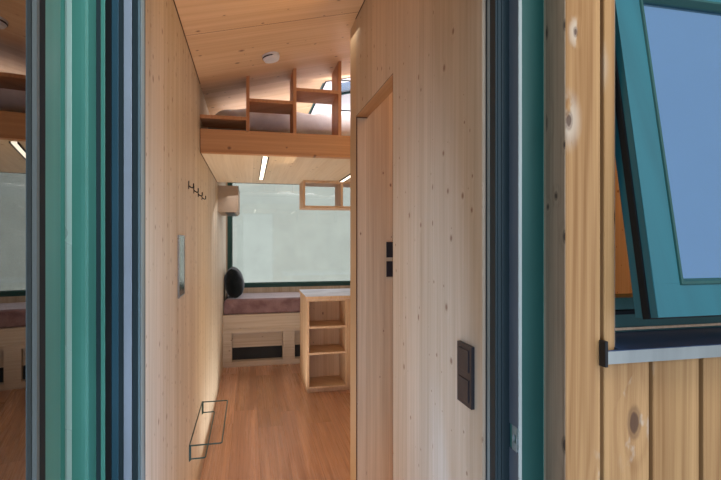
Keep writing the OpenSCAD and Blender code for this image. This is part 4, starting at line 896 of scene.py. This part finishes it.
def outline(lo, hi):
    """The upright rectangle of a box that faces along y."""
    return lo.x, hi.x, lo.z, hi.z


def members(name, outer, inner, y0, y1, material):
    """Stiles and rails as four boards with butt joints."""
    (x0, x1, z0, z1), (a0, a1, c0, c1) = outer, inner
    solid(name, material, PAINT, 0.0008, **DOOR,
          boxes=[((x0, y0, z0), (a0, y1, z1)), ((a1, y0, z0), (x1, y1, z1)),
                 ((a0, y0, z0), (a1, y1, c0)), ((a0, y0, c1), (a1, y1, z1))])


OPENING = inset(outline(pane_lo, pane_hi), 0.012)
members("leaf_inner_face", inset(BODY, 0.002), OPENING, LY1, LY1 + 0.0012, "green")
members("leaf_lap_face", inset(LEAF_EDGE, 0.002), inset(BODY, -0.001), LAP_Y, LAP_Y + 0.0012, "navy")
members("leaf_outer_face", inset(LEAF_EDGE, 0.002), OPENING, LY0 - 0.0012, LY0, "green")
for name, edges, material, slot, profile in (
        ("leaf_gasket", LEAF_EDGE, "seal", None, [
            (0.010, LAP_Y + 0.0012), (0.012, LAP_Y + 0.0026), (0.020, LAP_Y + 0.0026),
            (0.024, LAP_Y + 0.0012)]),
        ("leaf_pane_seal", OPENING, "seal", None, [
            (-0.040, LY1 + 0.0012), (-0.038, LY1 + 0.0020), (-0.014, LY1 + 0.0020),
            (-0.012, LY1 + 0.0012)]),
        ("leaf_inner_bead", OPENING, "bead", None, [
            (-0.012, LY1 + 0.0012), (-0.011, LY1 + 0.0020), (0.0005, LY1 + 0.0020),
            (0.0020, LY1 - 0.0029), (-0.004, LY1 - 0.0029)]),
        ("leaf_outer_bead", OPENING, "green", PAINT, [
            (-0.004, LY0 - 0.0012), (-0.003, LY0 - 0.003), (0.001, LY0 - 0.003),
            (0.010, pane_lo.y - 0.008), (0.010, pane_lo.y), (0.0, pane_lo.y)])):
    solid(name, material, slot, 0.0005, **DOOR, rings=[(edges, profile)])


def double_pane(name, node, lo, hi, material, matrix=HOUSE, body="root"):
    """Two panes and the spacer between them, with its seal."""
    y0, y1 = lo.y + 0.006, hi.y - 0.006
    solid(name, material, "clear_glass", 0.0003, body=body, matrix=matrix, replaces=node,
          boxes=[(lo, (hi.x, y0, hi.z)), ((lo.x, y1, lo.z), hi)])
    solid(name + "_spacer", "seal", body=body, matrix=matrix, rings=[(outline(lo, hi), [
        (0.001, y0 + 0.0002), (0.0162, y0 + 0.0002), (0.0162, y1 - 0.0002), (0.001, y1 - 0.0002)])])


double_pane("door_panes", "door_glass", pane_lo, pane_hi, "coated_glass", **DOOR)

# Lever handles on long plates, with a cylinder lock
handle_z = 1.020
handle_x = LX1 - 0.130
PLATE = [(-0.020, -0.116), (-0.016, -0.120), (0.016, -0.120), (0.020, -0.116),
         (0.020, 0.116), (0.016, 0.120), (-0.016, 0.120), (-0.020, 0.116)]
ROSE = [(0.0, 0.0), (0.015, 0.0), (0.015, 0.003), (0.0125, 0.006), (0.0, 0.006)]
LOCK = [(0.0, 0.0), (0.0095, 0.0), (0.0095, 0.0015), (0.0085, 0.0025), (0.0, 0.0025)]
for k, (y, out) in enumerate(((LY1, 1), (LY0, -1))):
    face_y, grip_y = y + out * 0.008, y + out * 0.041
    outwards = Matrix.Rotation(-QUARTER * out, 4, "X")
    plate = Build("handle_plate_%d" % (k + 1))
    plate.slab([(handle_x + dx, y, handle_z + dz) for dx, dz in PLATE], (0, out * 0.008, 0))
    plate.lathe(shift(handle_x, face_y, handle_z) @ outwards, ROSE, 32)
    plate.lathe(shift(handle_x, face_y, handle_z - 0.072) @ outwards, LOCK, 28)
    plate.box((handle_x - 0.0012, y + out * 0.0085, handle_z - 0.078),
              (handle_x + 0.0012, y + out * 0.0112, handle_z - 0.066))
    for dz in (-0.106, 0.106):
        plate.disc((handle_x, face_y, handle_z + dz), (0, out, 0), 0.0036, 0.0008)
    plate.done("steel", "satin_steel", 0.0006, replaces="door_handles", **DOOR)
    wire("handle_lever_%d" % (k + 1), [[(handle_x, face_y, handle_z), (handle_x, grip_y, handle_z),
                                        (handle_x - 0.112, grip_y, handle_z)]],
         0.0088, "steel", "satin_steel", 0.016, "door_handles", **DOOR)
plate = Build("lock_edge")
mid_y = (LY0 + LAP_Y) / 2
plate.box((LX1, LY0 + 0.022, handle_z - 0.20), (LX1 + 0.0015, LAP_Y - 0.022, handle_z + 0.13))
for dz in (-0.19, 0.12):
    plate.disc((LX1 + 0.0015, mid_y, handle_z + dz), (1, 0, 0), 0.0036, 0.0006)
plate.box((LX1 + 0.0015, mid_y - 0.007, handle_z - 0.015), (LX1 + 0.0030, mid_y + 0.007, handle_z + 0.015))
plate.done("steel", "satin_steel", 0.0004, **DOOR)

# Awning window
sash_lo, sash_hi = local_box("awning_sash", SASH)
SASH_EDGE = outline(sash_lo, sash_hi)
SX0, SX1, SZ0, SZ1 = SASH_EDGE
SX2, SX3, SZ2, SZ3 = inset(SASH_EDGE, 0.065)
face_y = sash_lo.y - 0.0014
solid("sash_face", "sash_green", PAINT, 0.0009, matrix=SASH,
      boxes=[((x0, face_y, z0), (x1, sash_lo.y, z1)) for x0, x1, z0, z1 in (
          (SX0, SX1, SZ0, SZ2), (SX0, SX1, SZ3, SZ1), (SX0, SX2, SZ2, SZ3), (SX3, SX1, SZ2, SZ3))])
solid("sash_gasket", "seal", None, 0.0004, matrix=SASH, rings=[
    (SASH_EDGE, [(-0.0030, 0.018), (-0.0030, 0.034), (0.0, 0.036), (0.0, 0.016)]),
    (SASH_EDGE, [(0.016, sash_hi.y), (0.018, sash_hi.y + 0.006), (0.026, sash_hi.y + 0.006),
                 (0.028, sash_hi.y)])])
solid("sash_bead", "green_dark", PAINT, 0.0004, matrix=SASH, rings=[((SX2, SX3, SZ2, SZ3), [
    (-0.004, face_y), (-0.002, sash_lo.y - 0.0045), (0.003, sash_lo.y - 0.0045),
    (0.010, 0.009), (0.010, 0.0136), (0.0, 0.0136)])])
double_pane("sash_panes", "awning_glass", *local_box("awning_glass", SASH), "window_glass", SASH)
solid("window_seal", "seal", rings=[
    ((AWNING[0] + 0.014, AWNING[1] - 0.014, AWNING[2] + 0.060, AWNING[3] - 0.014),
     [(0.0, 0.090), (0.002, 0.0835), (0.010, 0.0835), (0.012, 0.090)])])
solid("window_ledge", "joinery", TIMBER, 0.0008, boxes=[
    ((AWNING[0] + 0.002, 0.0862, AWNING[2] + 0.024), (AWNING[1] - 0.002, 0.0898, AWNING[2] + 0.030))])

# Sill with a light lip and dark end caps
sill_lo, sill_hi = place("window_sill")
CAP = 0.006
solid("sill_lip", "sill_edge", "sill_metal", 0.0006, boxes=[
    ((sill_lo.x + CAP, sill_lo.y, sill_lo.z + 0.005),
     (sill_hi.x - CAP, sill_lo.y + 0.001, sill_lo.z + 0.0315))])
solid("sill_caps", "black", "sill_metal", 0.0012, boxes=[
    ((x - 0.0008, sill_lo.y - 0.0008, sill_lo.z - 0.001), (x + CAP + 0.0008, -0.0006, sill_lo.z + 0.053))
    for x in (sill_lo.x, sill_hi.x - CAP)])

# Far window
far_lo, far_hi = place("panorama_glass")
double_pane("panorama_panes", "panorama_glass", far_lo, far_hi, "far_glass")
FAR = inset(outline(far_lo, far_hi), 0.012)
solid("panorama_bead", "green_dark", PAINT, 0.0005, rings=[
    (FAR, [(-0.014, REAR_Y), (-0.014, REAR_Y - 0.0025), (-0.002, REAR_Y - 0.0025),
           (0.010, far_lo.y - 0.006), (0.010, far_lo.y), (0.0, far_lo.y)]),
    (FAR, [(-0.014, pano_hi.y), (-0.014, pano_hi.y + 0.002), (-0.002, pano_hi.y + 0.002),
           (0.010, far_hi.y + 0.006), (0.010, far_hi.y), (0.0, far_hi.y)])])
solid("panorama_seal", "seal", rings=[
    (FAR, [(0.009, far_lo.y - 0.005), (0.0125, far_lo.y - 0.002), (0.0125, far_lo.y), (0.009, far_lo.y)])])

# Roof window, in a layout whose y is square to the roof
TILT = Matrix.Rotation(-math.atan(SLOPE), 4, "Y")
SKY = shift(*at(0, 0, CEILING_0)) @ TILT @ Matrix(((1, 0, 0, 0), (0, 0, 1, 0), (0, 1, 0, 0), (0, 0, 0, 1)))
sky_lo, sky_hi = local_box("skylight_glass", SKY)
SKY_EDGE = outline(sky_lo, sky_hi)
double_pane("skylight_panes", "skylight_glass", sky_lo, sky_hi, "sky_glass", SKY)
solid("skylight_seal", "seal", matrix=SKY, rings=[
    (SKY_EDGE, [(-0.008, sky_hi.y), (-0.004, sky_hi.y + 0.004), (0.016, sky_hi.y + 0.004),
                (0.020, sky_hi.y)])])
solid("skylight_lining", "lining", PAINT, 0.0008, matrix=SKY, rings=[
    (SKY_EDGE, [(-0.078, -0.003), (0.010, -0.003), (0.010, sky_lo.y - 0.012), (0.0, sky_lo.y - 0.012),
                (0.0, 0.0005), (-0.078, 0.0005)])])
solid("skylight_line", "seal", matrix=SKY, rings=[
    (SKY_EDGE, [(-0.086, -0.004), (-0.078, -0.004), (-0.078, 0.0005), (-0.086, 0.0005)])])

# Dark lines where the walls meet the ceiling and the loft, and round the bathroom's doorway: painted shade in
# these joints. The line across the ceiling is a dark panel joint.
SHADE_LINE_W = 0.0035
part_lo, part_hi = place("bath_partition")
bath_lo, bath_hi = place("bath_door_head")
wall_x, part_x, door_z = -INNER_X, part_lo.x, bath_lo.z
solid("corner_shade_and_joint_lines", "joint", DARK, slabs=[
    ([(wall_x, INNER_Y, ceiling(wall_x)), (wall_x + SHADE_LINE_W, INNER_Y, ceiling(wall_x + SHADE_LINE_W)),
      (wall_x + SHADE_LINE_W, INNER_Y, ceiling(wall_x) - SHADE_LINE_W), (wall_x, INNER_Y, ceiling(wall_x) - SHADE_LINE_W)],
     (0, 2.140 - INNER_Y, 0)),
    ([(x, 1.450, ceiling(x) - dz) for x, dz in
      ((wall_x, 0.0), (INNER_X, 0.0), (INNER_X, 0.0006), (wall_x, 0.0006))], (0, 0.0014, 0)),
    ([(part_x - SHADE_LINE_W, INNER_Y, ceiling(part_x - SHADE_LINE_W)), (part_x, INNER_Y, ceiling(part_x)),
      (part_x, INNER_Y, ceiling(part_x) - SHADE_LINE_W), (part_x - SHADE_LINE_W, INNER_Y, ceiling(part_x - SHADE_LINE_W) - SHADE_LINE_W)],
     (0, 1.525 - INNER_Y, 0))], boxes=[
    ((part_x - 0.0006, bath_lo.y - 0.0030, 0.0), (part_x, bath_lo.y - 0.0004, door_z)),
    ((part_x - 0.0006, bath_lo.y - 0.0030, door_z), (part_x, bath_hi.y, door_z + 0.0022)),
    ((part_x, bath_hi.y - 0.0012, 0.0), (part_x + 0.006, bath_hi.y, door_z)),
    ((part_x, bath_hi.y - 0.0012, door_z - 0.006), (part_hi.x, bath_hi.y, door_z)),
    ((wall_x, 2.141, 1.9635), (wall_x + SHADE_LINE_W, 3.690, 1.9672)),
    ((wall_x, 2.1372, 1.967), (wall_x + SHADE_LINE_W, 2.1402, 2.106))])

# A thin board of darker wood under the head of the bathroom's doorway: painted shade on the soffit.
solid("bath_head_painted_shade", "head", TIMBER, boxes=[
    ((part_x + 0.0008, bath_lo.y + 0.0004, door_z - 0.0012),
     (part_hi.x, bath_hi.y - 0.0014, door_z - 0.0002))])

# Rockers on the wall switches
switch_lo, switch_hi = place("wall_switches")
solid("switch_rockers", "dark_plastic", DARK, 0.0012, boxes=[
    ((switch_lo.x - 0.0022, switch_lo.y + 0.0125, z), (switch_lo.x, switch_lo.y + 0.0675, z + 0.055))
    for z in (switch_lo.z + 0.0115, switch_lo.z + 0.0845)] + [
    ((switch_hi.x - 0.0675, switch_hi.y - 0.0112, z), (switch_hi.x - 0.0125, switch_hi.y - 0.009, z + 0.055))
    for z in (switch_hi.z - 0.1675, switch_hi.z - 0.0675)])

# Split unit: louvre, slot and panel joints
lo, hi = place("wall_unit")
solid("unit_louvre", "dark_plastic", "beige_plastic", 0.0008, slabs=[
    ([(lo.x + dx, lo.y + 0.04, lo.z + dz) for dx, dz in
      ((0.06, 0.0), (0.145, 0.0), (0.150, -0.007), (0.065, -0.004))], (0, hi.y - lo.y - 0.08, 0))])
solid("unit_front", "beige", "beige_plastic", 0.0010, boxes=[
    ((hi.x, lo.y + 0.003, lo.z + 0.024), (hi.x + 0.0022, hi.y - 0.003, hi.z - 0.030))])
solid("unit_grille", "dark_plastic", DARK, 0.0004, boxes=[
    ((x, lo.y + 0.03, hi.z), (x + 0.006, hi.y - 0.03, hi.z + 0.0015))
    for x in (lo.x + 0.020 + k * 0.020 for k in range(9))])

# Smoke detector's slot
lo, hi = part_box("smoke_detector")
piece = Build("detector_rim")
piece.lathe(shift(*(lo + hi) / 2) @ TILT,
            [(0.0462, 0.004), (0.0478, 0.002), (0.0478, -0.002), (0.0462, -0.004)], closed=True)
piece.done("dark_plastic", "white_plastic", matrix=None)

# Mirror frame, in a layout whose x and y change places
lo, hi = place("wall_mirror")
TO_WALL = Matrix(((0, 1, 0, 0), (1, 0, 0, 0), (0, 0, 1, 0), (0, 0, 0, 1)))
solid("mirror_rim", "steel", "mirror_glass", 0.0004, matrix=HOUSE @ TO_WALL, rings=[
    ((lo.y, hi.y, lo.z, hi.z),
     [(-0.0015, lo.x), (-0.0015, hi.x + 0.001), (0.0035, hi.x + 0.001), (0.0035, hi.x)])])

# Coat hooks and the wire rack as bent bars
lo, hi = place("coat_hooks")
for k in range(4):
    y, z, tip_x = lo.y + 0.0056 + k * 0.222, lo.z + 0.006, hi.x - 0.0035
    plate = Build("hook_plate_%d" % (k + 1))
    plate.box((lo.x, y - 0.0056, lo.z), (lo.x + 0.0035, y + 0.0056, hi.z))
    plate.disc((lo.x + 0.0035, y, hi.z - 0.006), (1, 0, 0), 0.003, 0.0008)
    plate.done("black", "black_metal", 0.0010, replaces="coat_hooks")
    wire("hook_bar_%d" % (k + 1), [[(lo.x + 0.002, y, z + 0.010), (lo.x + 0.016, y, z), (tip_x, y, z + 0.001),
                                    (tip_x, y, z + 0.022)]],
         0.0032, "black", "black_metal", 0.006, "coat_hooks")
lo, hi = place("wire_rack")
WIRE_R = 0.0035
top, low = hi.z - WIRE_R, lo.z + WIRE_R
near_y, far_y = lo.y + WIRE_R, hi.y - WIRE_R
wire("rack_loops", [[(lo.x + 0.001, near_y, z), (x, near_y, z), (x, far_y, z), (lo.x + 0.001, far_y, z)]
                    for x, z in ((hi.x - WIRE_R, top), (lo.x + 0.080 - WIRE_R, low))],
     WIRE_R, "rack", PAINT, 0.012, "wire_rack")
solid("rack_ends", "rack", PAINT, 0.0006, replaces="wire_rack", slabs=[
    ([(lo.x, y, top + 0.004), (lo.x + 0.010, y, top + 0.004), (lo.x + 0.010, y, low - 0.004),
      (lo.x, y, low - 0.014)], (0, 0.005, 0)) for y in (lo.y, hi.y - 0.005)],
    boxes=[((lo.x, lo.y, top - 0.004), (lo.x + 0.004, hi.y, top + 0.004))])

# Light strips under the loft: a dark profile round the cover
lo, hi = place("light_strips")
solid("strip_profile", "black", "light_cover", 0.0005, boxes=[
    ((x, lo.y - 0.004, lo.z - 0.002), (x + 0.005, hi.y + 0.004, hi.z))
    for x in (lo.x - 0.005, lo.x + 0.032, hi.x - 0.037, hi.x)])

# Worktop edge band
lo, hi = place("worktop")
solid("worktop_band", "joinery", "white_laminate", 0.0004,
      boxes=[((lo.x - 0.001, lo.y - 0.001, lo.z + 0.001), (hi.x, lo.y, hi.z - 0.001))])
solid("worktop_band_end", "joinery", "white_laminate", 0.0004,
      boxes=[((lo.x - 0.001, lo.y, lo.z + 0.001), (lo.x, hi.y, hi.z - 0.001))])

# Behind the openings of the day bed: a dark sheet over the lower half, which is painted shade, and a board
# over the upper half.
bed_y = place("day_bed_base")[0].y
openings = [-INNER_X + 0.096 + k * 0.709 for k in range(3)]
solid("bed_painted_shade", "painted_shade_grey", DARK, 0.0006, boxes=[
    ((x, bed_y + 0.110, 0.0602), (x + 0.565, bed_y + 0.113, 0.204)) for x in openings])
solid("bed_boards", "bench", TIMBER, 0.001, boxes=[
    ((x, bed_y + 0.090, 0.204), (x + 0.565, bed_y + 0.108, 0.3865)) for x in openings])

# Wheels
tyre_lo, tyre_hi = place("tyres")
rim_lo, rim_hi = place("wheel_rims")
TYRE_R = (tyre_hi.z - tyre_lo.z) / 2
RIM_R = (rim_hi.z - rim_lo.z) / 2
HALF_T = 0.195 / 2


def tyre_section(step):
    """The tyre's outline at one of its steps. Every third step is a groove across the tread."""
    cut = 0.006 if step % 3 == 0 else 0.0
    half = [(RIM_R, -HALF_T + 0.015), (RIM_R + 0.010, -HALF_T + 0.006), (RIM_R + 0.040, -HALF_T),
            (RIM_R + 0.066, -HALF_T + 0.001), (TYRE_R - 0.024, -HALF_T + 0.005 + cut * 0.5),
            (TYRE_R - 0.007 - cut, -HALF_T + 0.014), (TYRE_R - 0.001 - cut, -HALF_T + 0.030)]
    tread = []
    for h in (-0.038, 0.0, 0.038):
        tread += [(TYRE_R - cut * (h != 0), h - 0.0045), (TYRE_R - 0.008, h - 0.0035),
                  (TYRE_R - 0.008, h + 0.0035), (TYRE_R - cut * (h != 0), h + 0.0045)]
    return half + tread + [(r, -h) for r, h in reversed(half)]


for k, (side, y) in enumerate((s, y) for s in (-1, 1) for y in (tyre_lo.y + TYRE_R, tyre_hi.y - TYRE_R)):
    hub = at(side * (tyre_hi.x - HALF_T), y, tyre_lo.z + TYRE_R)
    axle = shift(*hub) @ Matrix.Rotation(side * QUARTER, 4, "Y")
    tyre = Build("tyre_%d" % (k + 1))
    tyre.lathe(axle, tyre_section, 144, closed=True)
    tyre.done("tyre", "tyre_rubber", matrix=None, replaces="tyres")
    nuts = Build("wheel_nuts_%d" % (k + 1))
    for n in range(5):
        angle = 2 * math.pi * n / 5 + 0.3
        nuts.lathe(axle @ shift(0.050 * math.cos(angle), 0.050 * math.sin(angle), HALF_T - 0.020),
                   [(0.0, 0.0), (0.0095, 0.0), (0.0095, 0.012), (0.0075, 0.014), (0.0, 0.014)], 6)
    nuts.done("steel", "galvanised_steel", matrix=None)
